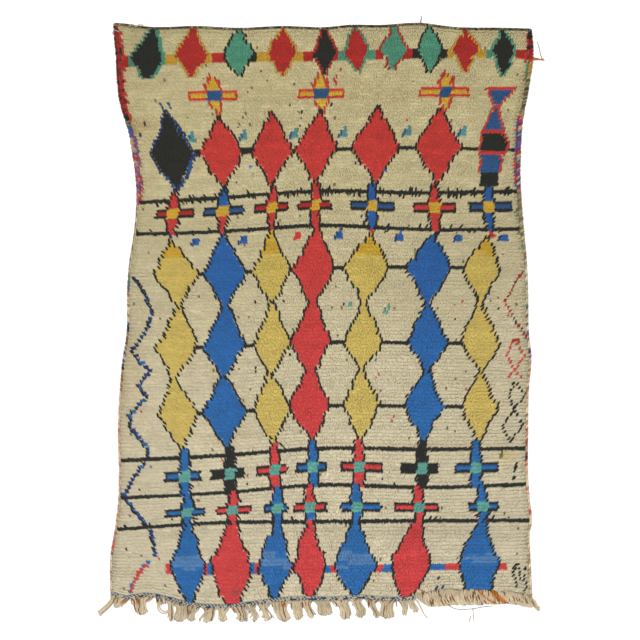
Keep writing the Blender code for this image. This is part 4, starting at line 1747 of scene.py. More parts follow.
@dataclass
class Pile:
    """The locks of wool, two for each knot, that lie over one another towards the head.

    Attributes:
        seen_share: where along a lock its knot's own place lies.
        fan: radians of lean, away from fan_middle, for each metre across.
        upright: how much of the lean is missing in the upper third.
        rim_rise: the share of its rise that the pile has at the weave's edges.
        apart: half the distance between a knot's two locks, in knots.
        cream_loose: how far locks stray in plain cream, in rows, and for the others in any other plain yarn
            and beside a knot of another yarn.
        settled_rows: over these rows the pile grows flatter and more even towards the head.
    """

    loom: Loom
    chart: Chart
    root: float = 2.5 * MM
    rise: float = 9.0 * MM
    proud: float = 0.9 * MM
    reach: float = 20.0 * MM
    lock_half: float = 3.7 * MM
    thin_half: float = 3.2 * MM
    thin_growth: float = 0.02
    flatness: float = 0.30
    seen_share: float = 0.70
    fan: float = 1.35
    fan_middle: float = 0.04
    most_lean: float = 0.72
    upright: float = 0.45
    lock_inset: float = 1.5 * MM
    overhang: float = 2.5 * MM
    rim_rise: float = 0.55
    rim_wide: float = 16 * MM
    apart: float = 0.25
    thin_apart: float = 0.10
    cream_loose: float = 0.13
    plain_loose: float = 0.22
    beside_loose: float = 0.12
    settled_rows: tuple[int, int] = (20, 110)
    upper_rows: tuple[int, int] = (104, 124)

    steps = np.array([0.20, 0.72, 1.0])
    lift = np.array([0.56, 1.0, 0.92])
    thin_lift = np.array([0.88, 1.04, 0.98])
    girth = np.array([0.85, 0.95, 0.0])
    ends = np.array([-1.0, 1.0])

    def _locks(self) -> dict[str, np.ndarray]:
        """Every lock as arrays over rows, knots and the knot's two ends.

        A lock starts below its knot's place and ends above it: base = place - seen share * travel and
        tip = base + travel, with travel of the lock's own length along its own heading.

        Returns:
            The locks' paths, radii, flatness, tone, lot and yarn.
        """
        rng = np.random.default_rng(7)
        axes = np.arange(self.loom.rows), np.arange(self.loom.knots), self.ends
        rows, knots, end = np.meshgrid(*axes, indexing="ij")
        shape = rows.shape
        tables = self.chart.yarn, self.chart.thin, self.chart.extra
        yarn, thin, extra = (np.repeat(table[..., None], 2, axis=2) for table in tables)
        settled = smoothstep(rows, *self.settled_rows)
        loose = np.where(yarn == CREAM, self.cream_loose + 0.05 * settled, self.plain_loose)
        loose = np.where(self._plain()[..., None], loose, self.beside_loose)
        spread = np.where(thin, self.thin_apart, self.apart)
        pair = rng.normal(0, 1, (*shape[:2], 1))
        at = self.loom.place(
            knots + 0.5 + spread * end + np.where(thin, 0.15 * pair, 0.14 * rng.normal(0, 1, shape)),
            rows + 0.5 + loose * rng.normal(0, 1, shape),
        )
        x, y = at[..., 0], at[..., 1]
        lean = np.clip(self.fan * (self.fan_middle - x), -self.most_lean, self.most_lean)
        lean = lean * (1 - self.upright * smoothstep(rows, *self.upper_rows))
        azimuth = TAU / 4 + lean + 0.12 * drift(x, y, 0.10, 3) + 0.06 * drift(x, y, 0.030, 4)
        azimuth += np.where(thin, 0.16 * pair, 0.09 * rng.normal(0, 1, shape) - 0.05 * end)
        reach = self.reach * (1 + 0.11 * rng.normal(0, 1, shape) + extra + self.thin_growth * thin)
        travel = paired(np.cos(azimuth), np.sin(azimuth)) * reach[..., None]
        base = self._held_in(at - self.seen_share * travel, self.lock_inset)
        tip = self._held_in(at + (1 - self.seen_share) * travel, -self.overhang)
        inside = smoothstep(self.loom.plan.depth(x, y), 0, self.rim_wide)
        crown = self.rim_rise + (1 - self.rim_rise) * inside
        uneven = 0.06 - 0.035 * settled
        rise = self.rise * crown * (1 + uneven * (drift(x, y, 0.05, 5) + rng.normal(0, 1, shape)))
        rise = rise * (1 + 0.04 * np.sin(TAU * rows / 5.3 + 2 * drift(x, y, 0.4, 6))) + self.proud * thin
        flat = base[..., None, :] + (tip - base)[..., None, :] * self.steps[:, None]
        sunk = np.array([0.0, 0.0, 0.26]) * settled[..., None]
        height = self.root + rise[..., None] * np.where(thin[..., None], self.thin_lift, self.lift - sunk)
        paths = np.concatenate([flat, height[..., None]], axis=-1)
        paths[..., -1, 0] += rng.normal(0, 1.2 * MM, shape) * (1 - 0.6 * settled) * ~thin
        half = np.where(thin, self.thin_half, self.lock_half) * (1 + 0.14 * rng.normal(0, 1, shape))
        # Each row's tone differs at random, partly as painted shade for the ribs between rows; it fades
        # towards the head.
        row_tone_rib_shade = rng.normal(0, 0.085, (shape[0], 1, 1)) * (1 - 0.7 * settled)
        tone = 0.5 + 0.10 * rng.normal(0, 1, shape) + 0.07 * drift(x, y, 0.025, 8) + row_tone_rib_shade
        tone = np.clip(tone + 0.13 * drift(0.1 * x, y, 0.02, 10) + 0.08 * drift(0.3 * x, y, 0.05, 14), 0, 1)
        return {
            "paths": paths,
            "radii": half[..., None] * self.girth,
            "flat": np.where(thin, self.flatness, self.flatness - 0.15 * settled),
            "tone": tone,
            "lot": np.clip(lot_at(y) + 0.05 * drift(x, y, 0.3, 9) + rng.normal(0, 0.05, shape), 0, 1),
            "yarn": yarn,
        }

    def _plain(self) -> np.ndarray:
        """Whether the knots round a knot are of its own yarn, so that its locks may stray."""
        near = np.pad(self.chart.yarn, 1, mode="edge")
        around = np.stack([near[2:, 1:-1], near[:-2, 1:-1], near[1:-1, 2:], near[1:-1, :-2]])
        return (around == self.chart.yarn).all(axis=0)

    def _held_in(self, point: np.ndarray, margin: float) -> np.ndarray:
        """Points moved back to lie inside the weave's edges.

        Args:
            point: (x, y) points on a last axis.
            margin: how far inside, or outside where it is below 0.

        Returns:
            The moved points.
        """
        plan = self.loom.plan
        x, y = point[..., 0], point[..., 1]
        y = np.clip(y, plan.foot(x) + margin, plan.head(x) - margin)
        return paired(np.clip(x, plan.left(y) + margin, plan.right(y) - margin), y)

    def build(self, wool: Material) -> list[Object]:
        """The pile's pieces, split by yarn and, where one yarn has most of the locks, by rows.

        Args:
            wool: the pile's finish.

        Returns:
            The pieces.
        """
        locks = self._locks()
        tips = locks["paths"][..., -1, :]
        colours = stained(lot_colours(locks["yarn"], locks["lot"]), tips[..., 0], tips[..., 1])
        row_of = np.arange(self.loom.rows)[:, None, None]
        pieces = []
        for name, yarns, first_row, last_row in PILE_PARTS:
            chosen = np.isin(locks["yarn"], yarns) & (row_of >= first_row) & (row_of < last_row)
            surface = tubes(
                locks["paths"][chosen],
                locks["radii"][chosen],
                sides=3,
                rooted=True,
                flat=locks["flat"][chosen][:, None],
                values={"tone": locks["tone"][chosen], "dye": colours[chosen][:, None]},
            )
            pieces.append(dress(surface, name, Slot.PILE, "pile_field", wool))
        return pieces


@dataclass
class GroundWeave:
    """The woven sheet with the felted lower half of the pile: the backs of the knots show underneath."""

    loom: Loom
    chart: Chart
    thick: float = 9.2 * MM
    thick_head: float = 9.8 * MM
    rim_thick: float = 4.2 * MM
    rim_wide: float = 20 * MM
    clearance: float = 0.2 * MM
    ripple: tuple[float, float] = (0.3 * MM, 0.12 * MM)  # above and below

    carried = {"tone": 0.45, "along": 0.5}

    def build(self, wool: Material) -> Object:
        """A closed sheet with a point on every knot.

        Above, z is the felt's thickness, less by the rim; below, it is the clearance.

        Args:
            wool: the pile's own finish, for the upper side.

        Returns:
            The piece.
        """
        plan, rows, knots = self.loom.plan, self.loom.rows, self.loom.knots
        row_at, knot_at = (np.concatenate([[0.0], np.arange(size) + 0.5, [size]]) for size in (rows, knots))
        row, knot = np.meshgrid(row_at, knot_at, indexing="ij")
        flat = self.loom.place(knot, row)
        x, y = flat[..., 0], flat[..., 1]
        inside = smoothstep(plan.depth(x, y), 0, self.rim_wide)
        full = self.thick + (self.thick_head - self.thick) * smoothstep(row, 95, 125)
        felt = self.rim_thick + (full - self.rim_thick) * inside
        felt = felt + self.ripple[0] * drift(x, y, 0.05, 12) * inside
        under = self.clearance + self.ripple[1] * (1 + np.clip(drift(x, y, 0.12, 11), -1, 1))
        points = np.concatenate([np.dstack([x, y, z]).reshape(-1, 3) for z in (felt, under)])
        number = np.arange(row.size).reshape(row.shape)
        squares = number[:-1, :-1], number[:-1, 1:], number[1:, 1:], number[1:, :-1]
        above = np.stack(squares, axis=-1).reshape(-1, 4)
        below = above[:, ::-1] + row.size
        place = paired(knot / knots, row / rows).reshape(-1, 2)
        rim = np.concatenate([number[0], number[1:, -1], number[-1, -2::-1], number[-2:0:-1, 0]])
        after = np.roll(rim, -1)
        wall = np.stack([rim, rim + row.size, after + row.size, after], axis=-1)
        across = (np.arange(len(rim)) / len(rim))[:, None] + np.array([0, 0, 1, 1]) / len(rim)
        own = np.clip(row, 0, rows - 1).astype(int), np.clip(knot, 0, knots - 1).astype(int)
        dye = [
            stained(lot_colours(yarn[own], lot_at(y)), x, y).reshape(-1, 3)
            for yarn in (self.chart.under, self.chart.yarn)
        ]
        fixed = {name: np.full(len(points), value) for name, value in self.carried.items()}
        surface = Surface(
            points,
            [above, below, wall],
            [place[above], place[below - row.size], paired(across, np.array([1.0, 0.0, 0.0, 1.0]))],
            [np.zeros(len(above), int), np.ones(len(below), int), np.full(len(wall), 2)],
            {"dye": np.concatenate(dye), **fixed},
        )
        back = GroundFinish("knotted_back", float(knots), float(rows)).material()
        return dress(surface, "ground_weave", Slot.PILE, "pile_field", wool, back, back)


# ---------------------------------------------------------------------------------------------------------
# The bindings


class Run(NamedTuple):
    """A stretch of a selvedge in loom millimetres up, the yarns sewn over it and those of its inner side."""

    start: float
    stop: float
    yarns: tuple[Yarn, ...]
    inner: tuple[Yarn, ...] = ()


LEFT_RUNS = (
    Run(-40, 90, (CREAM, WARP, CREAM, BROWN)),
    Run(90, 150, (VIOLET, CREAM, WARP)),
    Run(150, 210, (WARP, RED, BROWN), (RED, RED, CREAM)),
    Run(210, 640, (BROWN, CREAM, CREAM, WARP, RED), (CREAM, CREAM, CREAM, RED)),
    Run(640, 720, (BROWN, WARP)),
    Run(720, 816, (CHARCOAL, NAVY, WARP)),
    Run(816, 850, (BROWN, WARP)),
    Run(850, 880, (BLUE, CHARCOAL)),
    Run(880, 982, (BROWN, WARP, WARP)),
    Run(982, 1035, (OLIVE, BLUE, TEAL)),
    Run(1035, 1255, (BROWN, CHARCOAL, WARP), (CREAM, WARP)),
    Run(1255, 1470, (RED, VIOLET, BLUE, RED, CREAM), (RED, CREAM, VIOLET)),
    Run(1470, 1505, (BLUE, VIOLET)),
    Run(1505, 1540, (CHARCOAL, CREAM)),
    Run(1540, 1850, (CHARCOAL, CHARCOAL, MADDER), (RED, RED, MADDER, CHARCOAL)),
)
RIGHT_RUNS = (
    Run(-40, 250, (WARP, BROWN, CREAM)),
    Run(250, 420, (RED, CREAM, WARP)),
    Run(420, 560, (CHARCOAL, RED, BROWN, WARP)),
    Run(560, 760, (BROWN, WARP)),
    Run(760, 860, (CHARCOAL, VIOLET, WARP)),
    Run(860, 930, (CHARCOAL, OLIVE, WARP)),
    Run(930, 1080, (OLIVE, WARP, TEAL, WARP)),
    Run(1080, 1300, (OLIVE, BROWN, CREAM)),
    Run(1300, 1545, (RED, BLUE, VIOLET, CREAM, CHARCOAL)),
    Run(1545, 1670, (CHARCOAL, BROWN, CREAM)),
    Run(1670, 1712, (OLIVE, YELLOW, RED)),
    Run(1712, 1745, (MADDER,)),
    Run(1745, 1850, (CHARCOAL, MADDER, CHARCOAL)),
)


@dataclass
class Selvedge:
    """One long edge: a bundle of warps with yarn sewn over it, stitch by stitch."""

    plan: RugPlan
    name: str
    node: str
    side: int
    runs: Sequence[Run]
    seed: int
    pitch: float = 3.6 * MM
    stitch_half: float = 2.2 * MM
    slant: float = 4.0 * MM
    core_wide: float = 0.82
    core_thick: float = 0.8
    loop_thick: float = 0.92
    clearance: float = 0.1 * MM
    samples: int = 400
    ring_points: int = 10

    def build(self) -> Object:
        """A flattened core along the middle of the two rails, inside slanting loops of yarn.

        A loop is c + across * a cos t + up * b sin t + along * slant * cos t, with a and b half the edge's
        width and thickness.

        Returns:
            The piece.
        """
        rng = np.random.default_rng(self.seed)
        low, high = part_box(self.node)
        half_thick = (high[2] - low[2]) / 2
        heights, out_x, in_x = self.plan.rails(self.node, self.side, 1, self.samples)
        line = evenly(np.column_stack([(out_x + in_x) / 2, heights]), self.pitch)
        count = len(line)
        half = np.interp(line[:, 1], heights, np.abs(out_x - in_x) / 2)
        along = np.column_stack([unit(np.gradient(line, axis=0)), np.zeros(count)])
        across = np.column_stack([along[:, 1], -along[:, 0], np.zeros(count)]) * self.side
        dye, inner_dye = (
            self._mixed(lot_colours(yarns, lot_at(line[:, 1])))
            for yarns in self._yarn_at(line[:, 1] - FOOT_LINE_Y, rng)
        )
        tone = rng.uniform(0.2, 0.8, count)

        centre = np.column_stack([line, np.full(count, half_thick)])
        core_half = half * self.core_wide
        # Painted shade: the core takes the stitches' own dye at 0.6 and a low tone, for the gaps between the
        # loops.
        core = tubes(
            centre[None],
            core_half[None],
            sides=8,
            flat=(half_thick * self.core_thick / core_half)[None],
            values={"tone": np.full((1, count), 0.3), "dye": dye[None] * 0.6},
        )
        turn = np.arange(self.ring_points) * TAU / self.ring_points
        wide = half * (1 + 0.10 * rng.normal(0, 1, count)) + 0.2 * MM
        slant = self.slant * (1 + 0.5 * rng.normal(0, 1, count))
        loops = centre[:, None] + across[:, None] * (wide[:, None] * np.cos(turn))[..., None]
        loops = loops + UP * (half_thick * self.loop_thick * np.sin(turn))[None, :, None]
        loops = loops + along[:, None] * (slant[:, None] * np.cos(turn))[..., None]
        radius = np.full(loops.shape[:2], self.stitch_half) * rng.uniform(0.85, 1.15, (count, 1))
        loops[..., 2] = np.maximum(loops[..., 2], radius + self.clearance)
        outward = (np.cos(turn) > -0.1)[None, :, None]
        stitches = tubes(
            loops,
            radius,
            sides=3,
            reference=along[:, None],
            closed=True,
            values={"tone": tone, "dye": np.where(outward, dye[:, None], inner_dye[:, None])},
        )
        finish = WoolFinish(self.name, root_shade=1.0, tone_spread=0.4, streak=0.15)
        return dress(Surface.joined([core, stitches]), self.name, Slot.SELVEDGE, self.node, finish.material())

    def _yarn_at(self, up: np.ndarray, rng: np.random.Generator) -> tuple[np.ndarray, np.ndarray]:
        """The yarns of each stitch, picked from the run it lies in.

        Args:
            up: each stitch's height above the foot line.
            rng: picks the yarns.

        Returns:
            The yarns on the outer side and on the inner side.
        """
        outside, inside = np.zeros(len(up), int), np.zeros(len(up), int)
        for start, stop, yarns, inner in self.runs:
            here = (up >= start * MM) & (up < stop * MM)
            outside[here] = rng.choice(np.array(yarns), size=here.sum())
            inside[here] = rng.choice(np.array(inner), size=here.sum()) if inner else outside[here]
        return outside, inside

    def _mixed(self, dye: np.ndarray) -> np.ndarray:
        """Each stitch's colour with a third of its neighbours' in it, as fibres stray between them."""
        neighbours = (np.roll(dye, 1, axis=0) + np.roll(dye, -1, axis=0)) / 2
        return dye * 0.67 + neighbours * 0.33


@dataclass
class HeadCord:
    """The cord that closes the head: dark and cream strands twined round each other."""

    plan: RugPlan
    pitch: float = 19.0 * MM
    strand: float = 2.3 * MM
    lay: float = 1.8 * MM
    step: float = 1.9 * MM
    samples: int = 500
    strands: int = 3
    sag: float = 0.4 * MM

    def build(self) -> Object:
        """Three strands laid round the middle of the cord's two rails.

        Returns:
            The piece.
        """
        rng = np.random.default_rng(31)
        centre, sideways = self.plan.end_line("head_cord", 1, self.samples, self.step)
        x, level = centre[:, 0], 0 * centre[:, 0]
        centre[:, 2] += self.sag * drift(x, level, 0.05, 32)
        paths = rope(centre, sideways, self.strands, self.lay, self.pitch)
        worn = np.stack([drift(x, level, 0.011, 33 + strand) for strand in range(self.strands)])
        yarn = np.select([worn > 0.85, worn > 0.2, worn > -0.7], [CREAM, OLIVE, CHARCOAL], BROWN)
        values = {"tone": rng.uniform(0.2, 0.8, yarn.shape), "dye": lot_colours(yarn, 0.0)}
        surface = tubes(paths, np.full(yarn.shape, self.strand), sides=5, values=values)
        finish = WoolFinish("head_cord", root_shade=1.0, tone_spread=0.5, plies=2.0, turns=900.0)
        return dress(surface, "head_cord_strands", Slot.HEAD_CORD, "head_cord", finish.material())


@dataclass
class FootTwining:
    """The twined band at the foot: two rows of blue and cream strands, laid opposite ways."""

    plan: RugPlan
    pitch: float = 11.0 * MM
    strand: float = 2.1 * MM
    lay: float = 1.6 * MM
    step: float = 1.5 * MM
    apart: float = 2.4 * MM
    samples: int = 400

    def build(self) -> Object:
        """Two ropes of two strands beside each other, between the band's rails.

        Returns:
            The piece.
        """
        rng = np.random.default_rng(41)
        middle, sideways = self.plan.end_line("foot_twining", -1, self.samples, self.step)
        x, level = middle[:, 0], 0 * middle[:, 0]
        parts = []
        for side in (1, -1):
            paths = rope(middle + side * self.apart * sideways, sideways, 2, self.lay, self.pitch, side)
            first = np.where(drift(x, level + side, 0.02, 42 + side) > -0.55, DEEP_BLUE, CREAM)
            second = np.where(drift(x, level, 0.03, 45 + side) > 0.7, NAVY, CREAM)
            dye = lot_colours(np.stack([first, second]), 1.0)
            values = {"tone": rng.uniform(0.2, 0.8, (2, len(x))), "dye": dye}
            parts.append(tubes(paths, np.full((2, len(x)), self.strand), sides=5, values=values))
        finish = WoolFinish("foot_twining", root_shade=1.0, tone_spread=0.4, plies=2.0, turns=700.0)
        surface = Surface.joined(parts)
        return dress(surface, "foot_twining_strands", Slot.TWINING, "foot_twining", finish.material())


# ---------------------------------------------------------------------------------------------------------
# The warp ends


class Tassel(NamedTuple):
    """One bundle of warp ends in loom millimetres: its root in the weave, its tip, and how wide it is."""

    root: float
    tip: float
    drop: float
    root_wide: float
    tip_wide: float


TASSELS = [
    Tassel(*row)
    for row in (
        # root, tip, drop, width at the root, width at the tip
        (-659, -702, 66, 13, 14), (-636, -655, 36, 20, 16), (-578, -568, 61, 46, 38),
        (-477, -481, 83, 18, 12), (-444, -445, 84, 38, 36), (-409, -408, 83, 22, 24),
        (-350, -359, 84, 34, 48), (-312, -314, 83, 24, 26), (-258, -243, 83, 36, 30),
        (-218, -208, 83, 16, 24), (-183, -169, 80, 20, 34), (-127, -120, 83, 50, 40),
        (-80, -64, 77, 32, 28), (-44, -28, 70, 26, 22), (6, 22, 63, 46, 44),
        (68, 86, 77, 38, 34), (115, 134, 72, 30, 30), (165, 179, 72, 20, 20),
        (214, 219, 72, 48, 44), (268, 276, 62, 18, 16), (292, 303, 53, 16, 20),
    )
]


@dataclass
class WarpFringe:
    """The warp ends along the foot, gathered in knotted bundles that end frayed."""

    plan: RugPlan
    twining_wide: float = 10.0 * MM
    strand: float = 2.5 * MM
    spacing: float = 2.2 * MM
    fan: float = 1.35  # width at the root and at the waist, as shares of the bundle's own
    waist: float = 0.80
    waist_at: float = 0.24
    steps: int = 14
    floor: float = 0.6 * MM
    fray: float = 0.45 * MM
    frays: int = 3
    longest: float = 86 * MM
    rust: tuple[int, ...] = (2, 11, 13)

    def _strands(self, tassel: Tassel, rng: np.random.Generator) -> tuple[np.ndarray, np.ndarray]:
        """One bundle's strands: they fan in from the weave to a knotted waist and out again to the tip.

        Args:
            tassel: the bundle.
            rng: lays its strands.

        Returns:
            (m, n, 3) paths and (m, n) radii.
        """
        count = max(6, int(round(tassel.root_wide * MM / self.spacing)))
        share = (np.linspace(-1, 1, count) + rng.normal(0, 0.06, count))[:, None]
        t = np.linspace(0, 1, self.steps)[None]
        root_x, tip_x = (place * MM + CENTRE_LINE_X for place in (tassel.root, tassel.tip))
        top_y = self.plan.foot_at(root_x) - self.twining_wide + 1.5 * MM
        tip_y = FOOT_LINE_Y - tassel.drop * MM
        fan, waist = (tassel.root_wide * MM / 2 * wide for wide in (self.fan, self.waist))
        end = tassel.tip_wide * MM / 2
        half = np.where(
            t < self.waist_at,
            fan + (waist - fan) * smoothstep(t, 0, self.waist_at),
            waist + (end - waist) * smoothstep(t, self.waist_at, 1.0),
        )
        lean = smoothstep(t, 0.0, 1.2) / smoothstep(1.0, 0.0, 1.2)
        wave = 2.0 * MM * t * np.sin(TAU * (t * rng.uniform(0.7, 1.6, (count, 1)) + rng.random((count, 1))))
        wave = wave + 5.0 * MM * t * np.sin(TAU * (0.75 * t + rng.random()))
        ends = 1 - 0.10 * rng.random((count, 1)) - 0.16 * share**2
        x = root_x + (tip_x - root_x) * lean + share * half + wave
        y = top_y + (tip_y - top_y) * t * ends
        pile_up = 3.2 * MM * np.exp(-(((t - self.waist_at) / 0.14) ** 2))
        layer = rng.uniform(0, 1, (count, 1))
        z = self.floor + self.strand * 0.7 + (2.6 * MM * (1 - t) + 1.6 * MM) * layer + pile_up * layer
        radii = self.strand * (1 + 0.12 * rng.normal(0, 1, (count, 1))) * (1 - 0.35 * t) * np.ones_like(t)
        return np.stack([x, y, z], axis=-1), radii

    def _frays(self, paths: np.ndarray, rng: np.random.Generator) -> np.ndarray:
        """Fine loose fibres past the end of each strand: they spread to both sides and settle on the floor.

        Args:
            paths: the strands.
            rng: spreads the fibres.

        Returns:
            (m, n, 3) paths.
        """
        tips = np.repeat(paths[:, -3], self.frays, axis=0)
        x, y, _ = unit(np.repeat(paths[:, -1] - paths[:, -3], self.frays, axis=0) * (1, 1, 0)).T
        swing = rng.normal(0, 0.45, len(tips))
        cos, sin = np.cos(swing), np.sin(swing)
        turned = np.column_stack([x * cos - y * sin, x * sin + y * cos, np.zeros(len(tips))])
        reach = rng.uniform(5, 12, len(tips)) * MM
        t = np.linspace(0, 1, 6)[None, :, None]
        frays = tips[:, None] + turned[:, None] * reach[:, None, None] * t
        frays[..., 2] = np.maximum(frays[..., 2] * (1 - 0.7 * t[..., 0]), self.floor)
        frays[..., 1] = np.maximum(frays[..., 1], FOOT_LINE_Y - self.longest)
        return frays

    def _skirt(self, rng: np.random.Generator) -> Surface:
        """Short ends in a close row under the twining, each slanting towards the bundle nearest to it.

        Args:
            rng: lays the ends.

        Returns:
            Their surface.
        """
        roots = np.arange(TASSELS[0].root - 10, TASSELS[-1].root + 12, 3.4)
        count = len(roots)
        roots = roots + rng.normal(0, 1.0, count)
        middles = np.array([tassel.root for tassel in TASSELS])
        nearest = middles[np.argmin(np.abs(roots[:, None] - middles), axis=1)]
        fall = rng.uniform(14, 27, count) + 9 * (np.abs(roots - nearest) < 14)
        t = np.linspace(0, 1, 6)[None]
        x = roots[:, None] + np.clip(nearest - roots, -14, 14)[:, None] * t**1.5
        x = x * MM + CENTRE_LINE_X
        top = self.plan.foot(x[:, 0]) - self.twining_wide + 2.0 * MM
        y = top[:, None] - fall[:, None] * MM * t
        z = (4.6 - 2.6 * t + rng.uniform(-0.5, 1.2, (count, 1))) * MM
        radii = 2.0 * MM * (1 - 0.35 * t) * rng.uniform(0.8, 1.15, (count, 1))
        odd = rng.random(count) < np.where(roots < -380, 0.30, 0.13)
        x = x - odd[:, None] * 12 * MM * t
        z = z + odd[:, None] * 4.0 * MM * (1 - t)
        radii = np.where(odd[:, None], 1.6 * MM, radii)
        yarns = np.where(odd, rng.choice([BROWN, RUST], count), WARP)
        return spun(np.stack([x, y, z], axis=-1), radii, yarns, 0.8, rng.uniform(0.1, 0.8, count), sides=4)

    def _knots(self, rng: np.random.Generator) -> Surface:
        """A few turns of yarn round the waist of every bundle, in rust or in the bundle's own yarn.

        Args:
            rng: tilts the turns.

        Returns:
            Their surface.
        """
        angle = np.arange(12) * TAU / 12
        loops, yarns = [], []
        for index, tassel in enumerate(TASSELS):
            rust = index in self.rust
            root_x = (tassel.root + 0.12 * (tassel.tip - tassel.root)) * MM + CENTRE_LINE_X
            top_y = self.plan.foot_at(root_x) - self.twining_wide
            half = tassel.root_wide * MM / 2 * 0.72
            for turn in range(3 if rust else 2):
                y = top_y - (9 + 3.4 * turn + rng.uniform(-1, 1)) * MM
                y = y + rng.uniform(-0.25, 0.25) * half * np.cos(angle)
                x = root_x + half * np.cos(angle)
                loops.append(np.column_stack([x, y, 4.0 * MM + 3.0 * MM * np.sin(angle)]))
                yarns.append(RUST if rust else WARP)
        paths, tone = np.array(loops), rng.uniform(0.3, 0.7, len(yarns))
        radii = np.full(paths.shape[:2], 1.7 * MM)
        return spun(paths, radii, yarns, 1.0, tone, sides=4, reference=np.array([0.0, 1.0, 0.0]), closed=True)

    def build(self) -> Object:
        """Every bundle's strands, their frayed ends and the turns that hold them.

        Returns:
            The piece.
        """
        rng = np.random.default_rng(51)
        parts = []
        for tassel in TASSELS:
            paths, radii = self._strands(tassel, rng)
            yarns = rng.choice([WARP, BROWN], len(paths), p=[0.95, 0.05])
            tone = rng.uniform(0.1, 0.9, len(paths))
            parts.append(spun(paths, radii, yarns, 1.0, tone, sides=4))
            frays = self._frays(paths, rng)
            fine = np.full(frays.shape[:2], self.fray)
            yarns, tone = np.repeat(yarns, self.frays), np.repeat(tone, self.frays)
            parts.append(spun(frays, fine, yarns, 1.0, tone, sides=3))
        parts += [self._knots(rng), self._skirt(rng)]
        finish = WoolFinish("warp_ends", root_shade=0.85, tone_spread=0.4, soil=0.1, plies=2.0, turns=14.0)
        return dress(Surface.joined(parts), "warp_ends", Slot.WARP, "warp_fringe", finish.material())


# How far the plait hangs below the weave at places across, both in loom millimetres.
PLAIT_ACROSS = (314, 350, 390, 490, 570, 640, 672)
PLAIT_DEEP = (34, 50, 54, 49, 40, 40, 38)
PLAIT_TIP = (701.0, -46.0)
PLAIT_RUST = ((496, 510), (543, 562))


@dataclass
class CornerPlait:
    """The slanting plait under the right end of the foot, in which each bundle lies over the next."""

    plan: RugPlan
    bundles: int = 44
    strands: int = 5
    strand: float = 2.3 * MM
    lay: float = 5.0 * MM  # from a bundle's middle to its strands
    turns: float = 1.5
    slant: float = 52.0 * MM
    steps: int = 12
    # Strands dyed brown at random stand in for the shadows between the bundles: painted shadow.
    shadow_brown_share: float = 0.15
    tip_strands: int = 9
    tip_from: float = 640
    tip_spacing: float = 4.2
    tip_limit: float = 0.67

    def build(self) -> Object:
        """Bundle k runs from the weave's edge at x to a point lower and further right, in a low arch.

        Returns:
            The piece.
        """
        rng = np.random.default_rng(61)
        across = np.array(PLAIT_ACROSS) * MM + CENTRE_LINE_X
        deep = np.array(PLAIT_DEEP) * MM
        t = np.linspace(0, 1, self.steps)
        paths, yarns = [], []
        for start in np.linspace(across[0] - 8 * MM, across[-1] - 26 * MM, self.bundles):
            spot = (start - CENTRE_LINE_X) / MM
            own = RUST if any(low < spot < high for low, high in PLAIT_RUST) else WARP
            stop = start + self.slant * rng.uniform(0.8, 1.25)
            top = self.plan.foot_at(start) + rng.uniform(1.0, 9.0) * MM
            edge = self.plan.foot_at(min(stop, across[-1]))
            low = edge - np.interp(stop, across, deep) + 3.0 * MM + rng.uniform(-2, 2) * MM
            for strand in range(self.strands):
                angle = TAU * (t * self.turns + strand / self.strands)
                lay = self.lay * (0.8 + 0.2 * np.sin(np.pi * t))
                x = start + (stop - start) * (t + 0.4 * t**2) / 1.4 + lay * np.cos(angle)
                y = top + (low - top) * (1 - (1 - t) ** 1.25)
                z = 9.2 * MM - 4.6 * MM * t**0.7 + 1.0 * MM * np.sin(np.pi * t) + 0.5 * lay * np.sin(angle)
                paths.append(np.column_stack([x, y, z]))
                # Painted shadow: some strands take the brown yarn to stand for the shade between the bundles.
                yarns.append(BROWN if rng.random() < self.shadow_brown_share else own)
        paths = np.array(paths + self._tip(rng))
        yarns += [WARP] * self.tip_strands
        radii = self.strand * (1 - 0.3 * t[None] ** 3) * rng.uniform(0.85, 1.15, (len(paths), 1))
        surface = spun(paths, radii, yarns, 1.0, rng.uniform(0.1, 0.9, len(paths)), sides=5)
        finish = WoolFinish("plait_yarn", root_shade=0.8, tone_spread=0.45, soil=0.1, plies=2.0, turns=9.0)
        return dress(surface, "corner_plait_strands", Slot.WARP, "corner_plait", finish.material())

    def _tip(self, rng: np.random.Generator) -> list[np.ndarray]:
        """The corner's own small tassel: strands drawn out from the selvedge to the lowest right point.

        Args:
            rng: lays the strands.

        Returns:
            (n, 3) paths.
        """
        end_x, end_y = PLAIT_TIP[0] * MM + CENTRE_LINE_X, PLAIT_TIP[1] * MM + FOOT_LINE_Y
        t = np.linspace(0, 1, self.steps)
        made = []
        for strand in range(self.tip_strands):
            start_x = (self.tip_from + self.tip_spacing * strand) * MM + CENTRE_LINE_X
            start_y = self.plan.foot_at(min(start_x, self.tip_limit)) - 2 * MM
            spread = (strand - 4) * 1.1 * MM
            x = start_x + (end_x + spread - start_x) * t
            y = start_y + (end_y + rng.uniform(0, 5) * MM - start_y) * (0.35 * t + 0.65 * t**1.6)
            z = 3.0 * MM + rng.uniform(0, 2.5) * MM * (1 - 0.5 * t)
            made.append(np.column_stack([x, y, z]))
        return made


class Thread(NamedTuple):
    """A loose end: its yarn, its radius in millimetres, and (across, up, high) points in loom millimetres."""

    yarn: Yarn
    radius: float
    points: tuple[tuple[float, float, float], ...]


